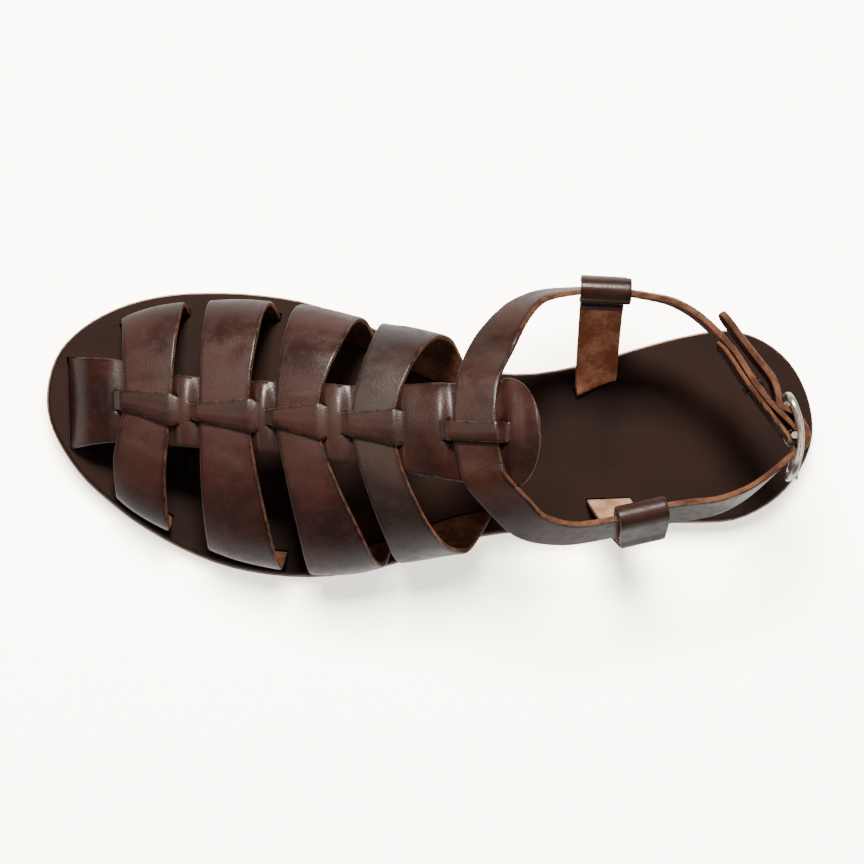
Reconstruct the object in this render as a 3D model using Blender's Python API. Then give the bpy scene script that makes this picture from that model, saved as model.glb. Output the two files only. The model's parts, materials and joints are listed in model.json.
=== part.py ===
"""Woven fisherman sandal, left shoe, as separate named pieces.

Metres, +Z up, +X to the toe, +Y to the outer side. The floor is z = 0 and the origin is the middle
of the sole's plan. Tables hold shares of the named sizes, one row for each section of the shoe.
"""
import math

import bpy
import numpy as np
from mathutils import Vector

# Sole
SOLE_LENGTH = 0.270
BALL_WIDTH = 0.100
OUTSOLE_THICKNESS = 0.0040
FOOTBED_THICKNESS = 0.0035
HEEL_LIFT = 0.0055
TOE_SPRING = 0.0055
HEEL_BREAST = 0.262
FLAT_START = 0.575
FLAT_END = 0.745
FOOTBED_INSET = 0.0008
HEEL_INSET = 0.0006
EDGE_ROUND = 0.0006
SPRING_POWER = 1.8
SOLE_SECTIONS = 56
TURN_STEP = 0.0005

# Leather of the straps
STRAP_THICKNESS = 0.0022
STRAP_SINK = 0.0005
SLIT_INSET = 0.0075
INSTEP_HEIGHT = 0.070
STRIP_WIDTH = 0.025
SHOULDER_POWER = 2.25
BELLY_POWER = 1.4
BULGE_SHARE = 0.34
RISE_START = 0.25
RISE_END = 0.70
STRIP_STEPS = 66
FUSE_STEP = 0.0001
RIDGE_STEP = 0.0004

# Ankle strap and keepers
ANKLE_WIDTH = 0.0150
ANKLE_THICKNESS = 0.0022
FOLD_THICKNESS = 0.0016
STRAP_STEP = 0.0040
KEEPER_WIDTH = 0.0150
KEEPER_THICKNESS = 0.0020
KEEPER_EASE = 0.0014
KEEPER_BOW = 0.0015
KEEPER_STEP = 0.0060
TONGUE_EASE = 0.0005
FLAP_SINK = 0.0006

# Buckle
BUCKLE_LENGTH = 0.0300
BUCKLE_RAIL = 0.0030
BUCKLE_DEPTH = 0.0026
BUCKLE_CORNER = 0.0045
BUCKLE_CROWN = 0.0020
BUCKLE_END_DROP = 0.0034
BAR_RADIUS = 0.0012
PRONG_RADIUS = 0.0008
HEEL_LEAN = math.radians(2.0)
RIVET_RADIUS = 0.0012
RIVET_PLACE = 0.6
RIVET_HEAD_RADIUS = 0.0022
RIVET_HEAD_HEIGHT = 0.0006

# Gap between pieces that touch
CLEARANCE = 0.0003

# Outline of the sole: share of SOLE_LENGTH from the heel, then the inner and the outer edge
# as shares of BALL_WIDTH
OUTLINE = (
    (0.000, 0.024, 0.024),
    (0.022, -0.179, 0.192),
    (0.045, -0.249, 0.265),
    (0.075, -0.299, 0.319),
    (0.112, -0.322, 0.354),
    (0.167, -0.304, 0.357),
    (0.225, -0.268, 0.353),
    (0.297, -0.216, 0.361),
    (0.380, -0.188, 0.368),
    (0.463, -0.226, 0.394),
    (0.537, -0.321, 0.457),
    (0.593, -0.396, 0.493),
    (0.659, -0.465, 0.507),
    (0.722, -0.497, 0.492),
    (0.778, -0.508, 0.455),
    (0.833, -0.505, 0.390),
    (0.889, -0.476, 0.296),
    (0.926, -0.435, 0.214),
    (0.956, -0.384, 0.133),
    (0.985, -0.298, 0.012),
    (1.000, -0.136, -0.136),
)

# The last under the straps: height of its ridge as a share of INSTEP_HEIGHT, and the place of the
# ridge and the swell beyond each root as shares of BALL_WIDTH
LAST_COLUMNS = ("along", "height", "ridge", "medial_swell", "lateral_swell")
LAST = (
    (0.370, 1.000, 0.062, 0.145, 0.145),
    (0.415, 0.950, 0.060, 0.148, 0.142),
    (0.467, 0.886, 0.050, 0.140, 0.120),
    (0.511, 0.823, 0.036, 0.118, 0.095),
    (0.556, 0.757, 0.022, 0.085, 0.075),
    (0.611, 0.679, 0.004, 0.055, 0.070),
    (0.667, 0.597, -0.018, 0.038, 0.060),
    (0.730, 0.503, -0.041, 0.027, 0.042),
    (0.785, 0.426, -0.058, 0.023, 0.037),
    (0.837, 0.349, -0.078, 0.020, 0.039),
    (0.881, 0.269, -0.110, 0.018, 0.046),
    (0.915, 0.200, -0.121, 0.015, 0.050),
    (0.941, 0.129, -0.124, 0.012, 0.030),
    (0.957, 0.066, -0.124, 0.010, 0.020),
    (0.967, 0.000, -0.124, 0.010, 0.010),
)
TOE_SLIT = 0.967
TOE_EASE = 0.030
TONGUE_END = 0.3775
TONGUE_ROUND = 0.044
TONGUE_POWER = 2.4
TONGUE_TIP = 0.002
ROOT_LIMIT = 0.926
SLOPE_STEP = 0.002
NORMAL_STEP = 0.0008
CROSS_STEP = 0.004

# Cross straps: place of the front and the back edge, as shares of SOLE_LENGTH, at the inner root,
# the inner shoulder, the ridge, the outer shoulder and the outer root
CROSS_STRAPS = (
    ((0.900, 0.897, 0.896, 0.912, 0.909), (0.811, 0.827, 0.837, 0.847, 0.843)),
    ((0.778, 0.794, 0.800, 0.800, 0.791), (0.693, 0.721, 0.737, 0.718, 0.693)),
    ((0.644, 0.686, 0.703, 0.679, 0.656), (0.563, 0.607, 0.650, 0.596, 0.552)),
    ((0.541, 0.574, 0.6085, 0.5685, 0.530), (0.441, 0.500, 0.5555, 0.500, 0.422)),
)
CROSS_PLACES = (0.0, 0.25, 0.5, 0.75, 1.0)

# Centre strip: share of SOLE_LENGTH, then its width as a share of STRIP_WIDTH
STRIP = (
    (0.378, 1.52),
    (0.415, 1.50),
    (0.467, 1.40),
    (0.541, 1.20),
    (0.607, 1.08),
    (0.644, 1.06),
    (0.730, 0.98),
    (0.833, 1.00),
    (0.900, 1.14),
    (0.933, 1.20),
    (0.967, 1.28),
)

# Bands slit in the strip: front and back end as shares of SOLE_LENGTH, width at each as a share
# of STRIP_WIDTH
BANDS = (
    (0.900, 0.835, 0.26, 0.45),
    (0.809, 0.732, 0.22, 0.46),
    (0.713, 0.646, 0.21, 0.49),
    (0.620, 0.554, 0.28, 0.48),
    (0.494, 0.415, 0.25, 0.27),
)
BAND_RAMP = 0.0150

# Ankle strap over the tongue: place along the sole, distance from the ridge as a share of
# STRIP_WIDTH, inner side first, and how far it lifts off the tongue as a share of its thickness
TONGUE_CROSSING = (
    (0.4480, -0.74, 0.35),
    (0.4545, -0.37, 0.00),
    (0.4560, 0.00, 0.00),
    (0.4500, 0.37, 0.10),
    (0.4390, 0.74, 0.90),
)

# Ankle strap, inner side, from the instep back to the buckle: place, then the direction across
# the strap from its lower to its upper edge. Shares of SOLE_LENGTH, BALL_WIDTH, INSTEP_HEIGHT
MEDIAL_ROUTE = (
    (0.4270, -0.262, 0.742, -9.5, 8.0, 9.0),
    (0.3980, -0.365, 0.672, -5.2, 6.1, 12.7),
    (0.3740, -0.410, 0.630, -1.0, 4.4, 14.2),
    (0.3450, -0.428, 0.612, 0.0, 2.8, 14.6),
    (0.2850, -0.432, 0.600, 0.0, 1.4, 14.8),
    (0.2250, -0.404, 0.614, 0.0, 0.8, 14.8),
    (0.1960, -0.380, 0.626, 0.1, 0.6, 14.8),
    (0.1660, -0.326, 0.640, 0.2, 0.5, 14.8),
    (0.1290, -0.218, 0.662, 0.3, 0.4, 14.8),
    (0.1065, -0.116, 0.684, 0.4, 0.2, 14.8),
    (0.0850, -0.030, 0.700, 0.5, 0.1, 14.8),
)
# Ankle strap, outer side, from the instep back to the buckle
LATERAL_ROUTE = (
    (0.4180, 0.306, 0.800, -9.4, -7.4, 9.2),
    (0.3940, 0.366, 0.728, -5.8, -7.6, 11.6),
    (0.3620, 0.394, 0.668, -2.6, -6.6, 13.2),
    (0.3260, 0.398, 0.636, -0.6, -5.6, 13.9),
    (0.2480, 0.362, 0.612, 0.2, -5.2, 14.0),
    (0.2160, 0.340, 0.608, 0.4, -5.2, 14.0),
    (0.1850, 0.330, 0.622, 0.8, -5.0, 14.1),
    (0.1530, 0.318, 0.640, 1.0, -4.0, 14.2),
    (0.1270, 0.292, 0.658, 1.2, -2.8, 14.5),
    (0.1050, 0.258, 0.676, 1.0, -1.5, 14.7),
    (0.0830, 0.214, 0.692, 0.7, -0.6, 14.8),
    (0.0645, 0.172, 0.704, 0.5, -0.2, 14.8),
)
# Free tail of the ankle strap, outside the inner side, from the buckle to the tip
TAIL_ROUTE = (
    (0.0790, -0.101, 0.708, 0.5, 0.1, 14.8, 1.00),
    (0.0970, -0.171, 0.700, 0.4, 0.2, 14.8, 1.00),
    (0.1150, -0.240, 0.692, 0.4, 0.3, 14.8, 1.00),
    (0.1300, -0.300, 0.686, 0.3, 0.4, 14.8, 1.00),
    (0.1357, -0.322, 0.684, 0.3, 0.4, 14.8, 0.86),
    (0.1399, -0.339, 0.683, 0.3, 0.4, 14.8, 0.50),
)
BUCKLE_PLACE = (0.0560, 0.093, 0.714)
KEEPER_ALONG = {"keeper_medial": 0.2850, "keeper_lateral": 0.2480}
KEEPER_ROOT = {
    "keeper_medial": ((0.3115, -0.110), (0.2615, -0.167)),
    "keeper_lateral": ((0.2990, 0.278), (0.2495, 0.278)),
}

LEATHER_DARK = (0.046, 0.022, 0.016)
LEATHER_FOOTBED = (0.026, 0.014, 0.010)
LEATHER_STRAP = (0.055, 0.024, 0.018)
LEATHER_TAN = (0.32, 0.19, 0.11)
NICKEL = (0.72, 0.70, 0.66)


def clear_scene():
    """Removes what a new file starts with."""
    for item in list(bpy.data.objects):
        bpy.data.objects.remove(item, do_unlink=True)


def finish_of(name, colour, roughness, metallic=0.0):
    """A Principled material in one plain colour."""
    material = bpy.data.materials.new(name)
    material.use_nodes = True
    shader = material.node_tree.nodes["Principled BSDF"]
    shader.inputs["Base Color"].default_value = (*colour, 1.0)
    shader.inputs["Roughness"].default_value = roughness
    shader.inputs["Metallic"].default_value = metallic
    return material


def make_object(name, points, faces, material=None):
    """A mesh object from points in metres and faces whose loops run outwards."""
    mesh = bpy.data.meshes.new(name)
    mesh.from_pydata([tuple(point) for point in points], [], faces)
    mesh.validate()
    item = bpy.data.objects.new(name, mesh)
    bpy.context.scene.collection.objects.link(item)
    if material is not None:
        mesh.materials.append(material)
    return item


def combine(item, other, operation):
    """Joins or cuts item with other, which is then removed."""
    modifier = item.modifiers.new(operation.title(), "BOOLEAN")
    modifier.operation = operation
    modifier.solver = "EXACT"
    modifier.object = other
    bpy.context.view_layer.objects.active = item
    with bpy.context.temp_override(object=item, active_object=item):
        bpy.ops.object.modifier_apply(modifier=modifier.name)
    bpy.data.objects.remove(other, do_unlink=True)


def smooth_shade(item, degrees):
    """Round faces shade smooth and edges sharper than the angle stay sharp."""
    item.data.shade_smooth()
    item.data.set_sharp_from_angle(angle=math.radians(degrees))


def hermite(places, values, place):
    """Smooth curve through a short table, flat-ended beyond it."""
    if place <= places[0]:
        return values[0]
    if place >= places[-1]:
        return values[-1]
    index = max(i for i in range(len(places) - 1) if places[i] <= place)

    def slope(i):
        low, high = max(i - 1, 0), min(i + 1, len(places) - 1)
        return (values[high] - values[low]) / (places[high] - places[low])

    span = places[index + 1] - places[index]
    t = (place - places[index]) / span
    rise = values[index + 1] - values[index]
    start, end = slope(index) * span, slope(index + 1) * span
    return (values[index] + start * t + (3.0 * rise - 2.0 * start - end) * t ** 2
            + (start + end - 2.0 * rise) * t ** 3)


def ease(low, high, value):
    """Zero below low, one above high, smooth between."""
    t = min(max((value - low) / (high - low), 0.0), 1.0)
    return t * t * (3.0 - 2.0 * t)


def turn_of(along):
    """Share of the sole's length as an even turn, so that round ends stay round."""
    return math.acos(1.0 - 2.0 * min(max(along, 0.0), 1.0)) / math.pi


OUTLINE_TURNS = [turn_of(row[0]) for row in OUTLINE]
OUTLINE_MEDIAL = [row[1] for row in OUTLINE]
OUTLINE_LATERAL = [row[2] for row in OUTLINE]


def sole_edge(along, side):
    """Y of the sole's edge; side is -1 for the inner edge and 1 for the outer edge."""
    column = OUTLINE_MEDIAL if side < 0 else OUTLINE_LATERAL
    return hermite(OUTLINE_TURNS, column, turn_of(along)) * BALL_WIDTH


def plan_x(along):
    """X of a share of the sole's length."""
    return (along - 0.5) * SOLE_LENGTH


def outsole_bottom(along):
    """Height of the outsole's underside: over the heel, through the arch, flat, then toe spring."""
    seat = HEEL_LIFT + CLEARANCE
    arch = seat * (1.0 - ease(HEEL_BREAST, FLAT_START, along))
    spring = max(along - FLAT_END, 0.0) / (1.0 - FLAT_END)
    return arch + TOE_SPRING * spring ** SPRING_POWER


def footbed_bottom(along):
    """Height of the footbed's underside."""
    return outsole_bottom(along) + OUTSOLE_THICKNESS + CLEARANCE


def footbed_top(along):
    """Height of the face that the foot stands on."""
    return footbed_bottom(along) + FOOTBED_THICKNESS


def inset_edge(along, side, inset):
    """Point of the sole's outline moved inwards along its normal."""
    turn = turn_of(along)
    here = []
    for delta in (-TURN_STEP, 0.0, TURN_STEP):
        share = 0.5 * (1.0 - math.cos(math.pi * min(max(turn + delta, 0.0), 1.0)))
        here.append((plan_x(share), sole_edge(share, side)))
    tangent = (here[2][0] - here[0][0], here[2][1] - here[0][1])
    size = math.hypot(*tangent)
    return (here[1][0] + side * inset * tangent[1] / size,
            here[1][1] - side * inset * tangent[0] / size)


def sole_layer(name, low, high, inset, last, material):
    """A layer of the sole between two height functions, with eased top and bottom edges."""
    turns = [i / SOLE_SECTIONS for i in range(1, SOLE_SECTIONS)]
    shares = [0.5 * (1.0 - math.cos(math.pi * turn)) for turn in turns]
    shares = [share for share in shares if share < last]
    if last < 1.0:
        shares.append(last)
    points, faces = [], []

    def ring(share, is_point):
        first = len(points)
        for side in (-1, 1):
            for lift, extra in ((0, EDGE_ROUND), (1, 0.0), (2, 0.0), (3, EDGE_ROUND)):
                if is_point:
                    end = 0.0 if share < 0.5 else 1.0
                    x = plan_x(end) + (1 if share < 0.5 else -1) * (inset + extra)
                    y = sole_edge(end, 1)
                else:
                    x, y = inset_edge(share, side, inset + extra)
                place = min(max(x / SOLE_LENGTH + 0.5, 0.0), min(last, 1.0))
                bottom, top = low(place), high(place)
                z = (bottom, bottom + EDGE_ROUND, top - EDGE_ROUND, top)[lift]
                points.append((x, y, z))
            if is_point:
                return [first, first + 1, first + 2, first + 3] * 2
        return list(range(first, first + 8))

    rings = [ring(0.0, True)] + [ring(share, False) for share in shares]
    if last >= 1.0:
        rings.append(ring(1.0, True))
    order = (0, 1, 2, 3, 7, 6, 5, 4)
    for back, front in zip(rings, rings[1:]):
        for i in range(8):
            a, b = order[i], order[(i + 1) % 8]
            loop = [back[a], front[a], front[b], back[b]]
            loop = [v for k, v in enumerate(loop) if v not in loop[:k]]
            if len(loop) > 2:
                faces.append(loop)
    if last < 1.0:
        faces.append([rings[-1][i] for i in reversed(order)])
    item = make_object(name, points, faces, material)
    smooth_shade(item, 35.0)
    return item


LAST_ALONG = [row[0] for row in LAST]


def last_value(column, along):
    """One column of the last's table at a place along the sole."""
    index = LAST_COLUMNS.index(column)
    return hermite(LAST_ALONG, [row[index] for row in LAST], along)


def root_y(along, side):
    """Where the straps leave the footbed: the sole's outline, inset along its normal."""
    place = min(along, ROOT_LIMIT)
    rise = sole_edge(place + SLOPE_STEP, side) - sole_edge(place - SLOPE_STEP, side)
    slope = rise / (2.0 * SLOPE_STEP * SOLE_LENGTH)
    return sole_edge(place, side) - side * SLIT_INSET * math.hypot(1.0, slope)


def half_section(along, side):
    """One half of a section of the last, root to ridge, as points and running lengths."""
    height = last_value("height", along) * INSTEP_HEIGHT
    ridge = last_value("ridge", along) * BALL_WIDTH
    swell = last_value("medial_swell" if side < 0 else "lateral_swell", along) * BALL_WIDTH
    root = root_y(along, side)
    belly = root + side * swell
    belly_height = BULGE_SHARE * height
    lower = np.linspace(0.0, 1.0, 11)
    low_y = root + (belly - root) * np.sin(0.5 * math.pi * lower) ** BELLY_POWER
    low_z = belly_height * lower
    upper = np.linspace(0.0, 0.5 * math.pi, 31)[1:]
    power = 2.0 / SHOULDER_POWER
    high_y = ridge + (belly - ridge) * np.clip(np.cos(upper), 0.0, 1.0) ** power
    high_z = belly_height + (height - belly_height) * np.sin(upper) ** power
    y = np.concatenate([low_y, high_y])
    z = np.concatenate([low_z, high_z]) + footbed_top(along)
    lengths = np.concatenate([[0.0], np.cumsum(np.hypot(np.diff(y), np.diff(z)))])
    return y, z, lengths


def on_last(along, side, from_root):
    """Point of the last at a running length from the root; below the root it goes straight down."""
    y, z, lengths = half_section(along, side)
    if from_root < 0.0:
        return Vector((plan_x(along), y[0], z[0] + from_root))
    if from_root > lengths[-1]:
        return Vector((plan_x(along), y[-1] - side * (from_root - lengths[-1]), z[-1]))
    return Vector((plan_x(along), float(np.interp(from_root, lengths, y)),
                   float(np.interp(from_root, lengths, z))))


def half_length(along, side):
    """Running length of half a section, root to ridge."""
    return float(half_section(along, side)[2][-1])


def across(along, share):
    """Point of the last at a share across it: 0 inner root, 0.5 ridge, 1 outer root."""
    side = -1 if share < 0.5 else 1
    part = 2.0 * share if side < 0 else 2.0 * (1.0 - share)
    return on_last(along, side, part * half_length(along, side))


def from_ridge(along, distance):
    """Point of the last at a distance from the ridge, negative to the inner side."""
    side = -1 if distance < 0.0 else 1
    return on_last(along, side, half_length(along, side) - abs(distance))


def outward(function, along, value, step):
    """Outward normal of the last, from two small steps of a surface function."""
    ahead = function(along + NORMAL_STEP, value) - function(along - NORMAL_STEP, value)
    aside = function(along, value + step) - function(along, value - step)
    return ahead.cross(aside).normalized()


def signed_volume(points, faces):
    """Volume of a closed mesh, negative where its faces point inwards."""
    total = 0.0
    for loop in faces:
        first = Vector(points[loop[0]])
        for second, third in zip(loop[1:], loop[2:]):
            total += first.dot(Vector(points[second]).cross(Vector(points[third])))
    return total / 6.0


def slab(name, inner, outer, material=None):
    """Closed slab between two grids of points with the same rows and columns."""
    rows, columns = len(inner), len(inner[0])
    points = [p for grid in (inner, outer) for row in grid for p in row]
    shift = rows * columns

    def at(layer, row, column):
        return layer * shift + row * columns + column

    faces = []
    for r in range(rows - 1):
        for c in range(columns - 1):
            faces.append([at(1, r, c), at(1, r + 1, c), at(1, r + 1, c + 1), at(1, r, c + 1)])
            faces.append([at(0, r, c), at(0, r, c + 1), at(0, r + 1, c + 1), at(0, r + 1, c)])
    for r in range(rows - 1):
        faces.append([at(0, r, 0), at(0, r + 1, 0), at(1, r + 1, 0), at(1, r, 0)])
        end = columns - 1
        faces.append([at(0, r, end), at(1, r, end), at(1, r + 1, end), at(0, r + 1, end)])
    for c in range(columns - 1):
        faces.append([at(0, 0, c), at(1, 0, c), at(1, 0, c + 1), at(0, 0, c + 1)])
        end = rows - 1
        faces.append([at(0, end, c), at(0, end, c + 1), at(1, end, c + 1), at(1, end, c)])
    if signed_volume(points, faces) < 0.0:
        faces = [loop[::-1] for loop in faces]
    return make_object(name, points, faces, material)


WEAVE = STRAP_THICKNESS - STRAP_SINK
ANKLE_LIFT = 0.5 * STRAP_THICKNESS + TONGUE_EASE + 0.5 * ANKLE_THICKNESS


def cross_level(share):
    """How far a cross strap's middle lies above the last: down at its roots, up over the strip."""
    part = 2.0 * min(share, 1.0 - share)
    return WEAVE * ease(RISE_START, RISE_END, part)


def cross_strap(name, edges, columns=5, rows=34):
    """One strap from the inner slit over the foot to the outer slit."""
    front, back = edges
    shares = [i / rows for i in range(rows + 1)]
    inner, outer = [], []
    ends = [("start", 0.0)] + [("run", share) for share in shares] + [("end", 1.0)]
    for kind, share in ends:
        row_in, row_out = [], []
        head = hermite(CROSS_PLACES, front, share)
        tail = hermite(CROSS_PLACES, back, share)
        for c in range(columns):
            along = tail + (head - tail) * c / (columns - 1)
            if kind == "run" and 0.0 < share < 1.0:
                point = across(along, share)
                normal = outward(across, along, share, CROSS_STEP)
            else:
                side = -1 if share < 0.5 else 1
                depth = FOOTBED_THICKNESS - CLEARANCE if kind != "run" else 0.0
                point = on_last(along, side, -depth)
                normal = root_normal(along, side)
            level = cross_level(share)
            row_in.append(point + normal * (level - 0.5 * STRAP_THICKNESS))
            row_out.append(point + normal * (level + 0.5 * STRAP_THICKNESS))
        inner.append(row_in)
        outer.append(row_out)
    return slab(name, inner, outer)


def root_normal(along, side):
    """Level outward normal of the line of slits."""
    rise = root_y(along + SLOPE_STEP, side) - root_y(along - SLOPE_STEP, side)
    slope = rise / (2.0 * SLOPE_STEP * SOLE_LENGTH)
    return Vector((-side * slope, side, 0.0)).normalized()


def bump_at(along, front, back):
    """One where a strap passes through the strip, zero a ramp's length away."""
    return ease(back - BAND_RAMP, back, along) * (1.0 - ease(front, front + BAND_RAMP, along))


CROSSINGS = [(edges[0][2], edges[1][2], WEAVE) for edges in CROSS_STRAPS]
ANKLE_HALF = 0.5 * ANKLE_WIDTH / SOLE_LENGTH
CROSSINGS.append((TONGUE_CROSSING[2][0] + ANKLE_HALF, TONGUE_CROSSING[2][0] - ANKLE_HALF, ANKLE_LIFT))


def wing_level(along):
    """Level of the strip's sides: under each strap that passes, half way up between them."""
    return WEAVE * (1.0 - max(bump_at(along, front, back) for front, back, _ in CROSSINGS))


def band_level(along):
    """Level of the strip's slit bands: over each strap that passes."""
    lifts = [(2.0 * lift - WEAVE) * bump_at(along, front, back) for front, back, lift in CROSSINGS]
    return WEAVE + max(lifts)


def strip_half(along):
    """Half width of the centre strip, with the round end of the tongue."""
    width = hermite([row[0] for row in STRIP], [row[1] for row in STRIP], along) * STRIP_WIDTH
    left = max(TONGUE_END + TONGUE_ROUND - along, 0.0) / TONGUE_ROUND
    return 0.5 * width * math.sqrt(1.0 - left ** TONGUE_POWER)


BAND_PLACES = []
BAND_WIDTHS = []
for _front, _back, _front_width, _back_width in reversed(BANDS):
    BAND_PLACES += [_back, _front]
    BAND_WIDTHS += [_back_width, _front_width]


def band_half(along):
    """Half width of the bands, straight between the ends of the slits."""
    return 0.5 * STRIP_WIDTH * float(np.interp(along, BAND_PLACES, BAND_WIDTHS))


def strip_ribbon(name, start, stop, level, thickness, columns):
    """A lengthwise part of the strip, between two distances from the ridge."""
    low = TONGUE_END + TONGUE_TIP
    places = [low + (TOE_SLIT - low) * (i / STRIP_STEPS) for i in range(STRIP_STEPS + 1)]
    inner, outer = [], []
    for along in places + [TOE_SLIT]:
        row_in, row_out = [], []
        sunk = len(inner) == len(places)
        for c in range(columns):
            share = c / (columns - 1)
            distance = start(along) + (stop(along) - start(along)) * share
            if along < TOE_SLIT:
                point = from_ridge(along, distance)
                normal = outward(from_ridge, along, distance, RIDGE_STEP)
            else:
                point = from_ridge(TOE_SLIT, distance)
                point.z = footbed_top(TOE_SLIT) - (FOOTBED_THICKNESS - CLEARANCE if sunk else 0.0)
                normal = Vector((1.0, 0.0, 0.0))
            height = level(along)
            if along >= TOE_SLIT:
                height = 0.0
            else:
                height *= 1.0 - ease(TOE_SLIT - TOE_EASE, TOE_SLIT, along)
            row_in.append(point + normal * (height - 0.5 * thickness))
            row_out.append(point + normal * (height + 0.5 * thickness))
        inner.append(row_in)
        outer.append(row_out)
    return slab(name, inner, outer)


def build_upper(material):
    """Centre strip, tongue, bands and cross straps, joined where they cross."""
    overlap = 2.0 * FUSE_STEP
    thin = STRAP_THICKNESS - 2.0 * FUSE_STEP
    band = strip_ribbon("upper", lambda a: -band_half(a), band_half, band_level, STRAP_THICKNESS, 4)
    medial = strip_ribbon("wing_medial", lambda a: -strip_half(a), lambda a: overlap - band_half(a),
                          wing_level, thin, 4)
    lateral = strip_ribbon("wing_lateral", lambda a: band_half(a) - overlap, strip_half,
                           wing_level, thin, 4)
    combine(band, medial, "UNION")
    combine(band, lateral, "UNION")
    for number, edges in enumerate(CROSS_STRAPS, start=1):
        combine(band, cross_strap("cross_strap_%d" % number, edges), "UNION")
    band.data.materials.clear()
    band.data.materials.append(material)
    smooth_shade(band, 35.0)
    return band


def routed(row):
    """Place and crosswise direction of a row of an ankle strap route."""
    along, aside, height, east, north, up = row[:6]
    place = Vector((plan_x(along), aside * BALL_WIDTH, height * INSTEP_HEIGHT + footbed_top(along)))
    return place, Vector((east, north, up)).normalized()


BUCKLE_CENTRE = Vector((plan_x(BUCKLE_PLACE[0]), BUCKLE_PLACE[1] * BALL_WIDTH,
                        BUCKLE_PLACE[2] * INSTEP_HEIGHT + footbed_top(BUCKLE_PLACE[0])))
BUCKLE_UP = Vector((math.sin(HEEL_LEAN), 0.0, math.cos(HEEL_LEAN)))
BUCKLE_OUT = Vector((-math.cos(HEEL_LEAN), 0.0, math.sin(HEEL_LEAN)))
BUCKLE_ASIDE = Vector((0.0, 1.0, 0.0))
FOLD_RADIUS = BAR_RADIUS + CLEARANCE + 0.5 * FOLD_THICKNESS
TAIL_RADIUS = FOLD_RADIUS + 0.5 * FOLD_THICKNESS + 2.0 * CLEARANCE + 0.5 * ANKLE_THICKNESS
FLAP_GAP = 0.5 * ANKLE_THICKNESS + 0.5 * FOLD_THICKNESS + 1.5 * CLEARANCE
END_PLACE = 0.5 * (BUCKLE_LENGTH - BUCKLE_RAIL)
END_OUT = BUCKLE_CROWN - BUCKLE_END_DROP
UNDER_END = END_OUT - 0.5 * BUCKLE_DEPTH - 3.0 * CLEARANCE - 0.5 * ANKLE_THICKNESS


def at_buckle(aside, out, up=0.0):
    """Point in the buckle's own directions, from the middle of its bar."""
    return BUCKLE_CENTRE + aside * BUCKLE_ASIDE + out * BUCKLE_OUT + up * BUCKLE_UP


def round_bar(radius, degrees):
    """Rows of a strap that wraps the bar at a radius; 90 degrees is straight outwards."""
    turns = [math.radians(value) for value in degrees]
    return [at_buckle(radius * math.cos(turn), radius * math.sin(turn)) for turn in turns]


def resample(rows, step):
    """Smooth rows about a step apart through rows of place, direction, width share, thickness."""
    table = np.array([[*row[0], *row[1], row[2], row[3]] for row in rows])
    runs = np.concatenate([[0.0], np.cumsum(np.linalg.norm(np.diff(table[:, :3], axis=0), axis=1))])
    places = []
    for low, high in zip(runs, runs[1:]):
        count = max(1, round((high - low) / step))
        places += [low + (high - low) * i / count for i in range(count)]
    places.append(runs[-1])
    columns = [[hermite(list(runs), list(table[:, c]), run) for run in places] for c in range(8)]
    return [(Vector(v[:3]), Vector(v[3:6]).normalized(), v[6], v[7]) for v in zip(*columns)]


def ribbon_frames(rows):
    """Place, direction along, crosswise and normal direction of each row of a ribbon."""
    frames = []
    for i, (place, direction, share, thickness) in enumerate(rows):
        ahead = rows[min(i + 1, len(rows) - 1)][0] - rows[max(i - 1, 0)][0]
        ahead.normalize()
        side = (direction - ahead * direction.dot(ahead)).normalized()
        frames.append((place, ahead, side, ahead.cross(side), share, thickness))
    return frames


def ribbon(name, rows, width, step, material=None, columns=2):
    """A flat strip of leather along smooth rows."""
    inner, outer = [], []
    for place, _, side, normal, share, thickness in ribbon_frames(resample(rows, step)):
        spots = [place + side * width * share * (c / (columns - 1) - 0.5) for c in range(columns)]
        inner.append([spot - normal * 0.5 * thickness for spot in spots])
        outer.append([spot + normal * 0.5 * thickness for spot in spots])
    return slab(name, inner, outer, material)


def tongue_rows():
    """Rows of the ankle strap where it lies on the tongue, under the last band."""
    rows = []
    for along, share, lift in TONGUE_CROSSING:
        distance = share * STRIP_WIDTH
        normal = outward(from_ridge, along, distance, RIDGE_STEP)
        point = from_ridge(along, distance) + normal * (ANKLE_LIFT + lift * ANKLE_THICKNESS)
        heelward = from_ridge(along - 0.01, distance) - from_ridge(along + 0.01, distance)
        rows.append((point, heelward.normalized(), 1.0, ANKLE_THICKNESS))
    return rows


def flap_rows():
    """Rows of the end that is folded back inside the strap, from its end to the bar."""
    rows = []
    for row, ahead in zip(MEDIAL_ROUTE[-4:], MEDIAL_ROUTE[-5:]):
        place, direction = routed(row)
        toward = (place - routed(ahead)[0]).normalized()
        inward = toward.cross(direction).normalized()
        if inward.x < 0.0:
            inward.negate()
        rows.append((place + inward * FLAP_GAP, direction, 1.0, FOLD_THICKNESS))
    first, second = rows[0][0], rows[1][0]
    rows[0] = (first.lerp(second, 0.72), rows[0][1], 1.0, FOLD_THICKNESS)
    return rows


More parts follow.
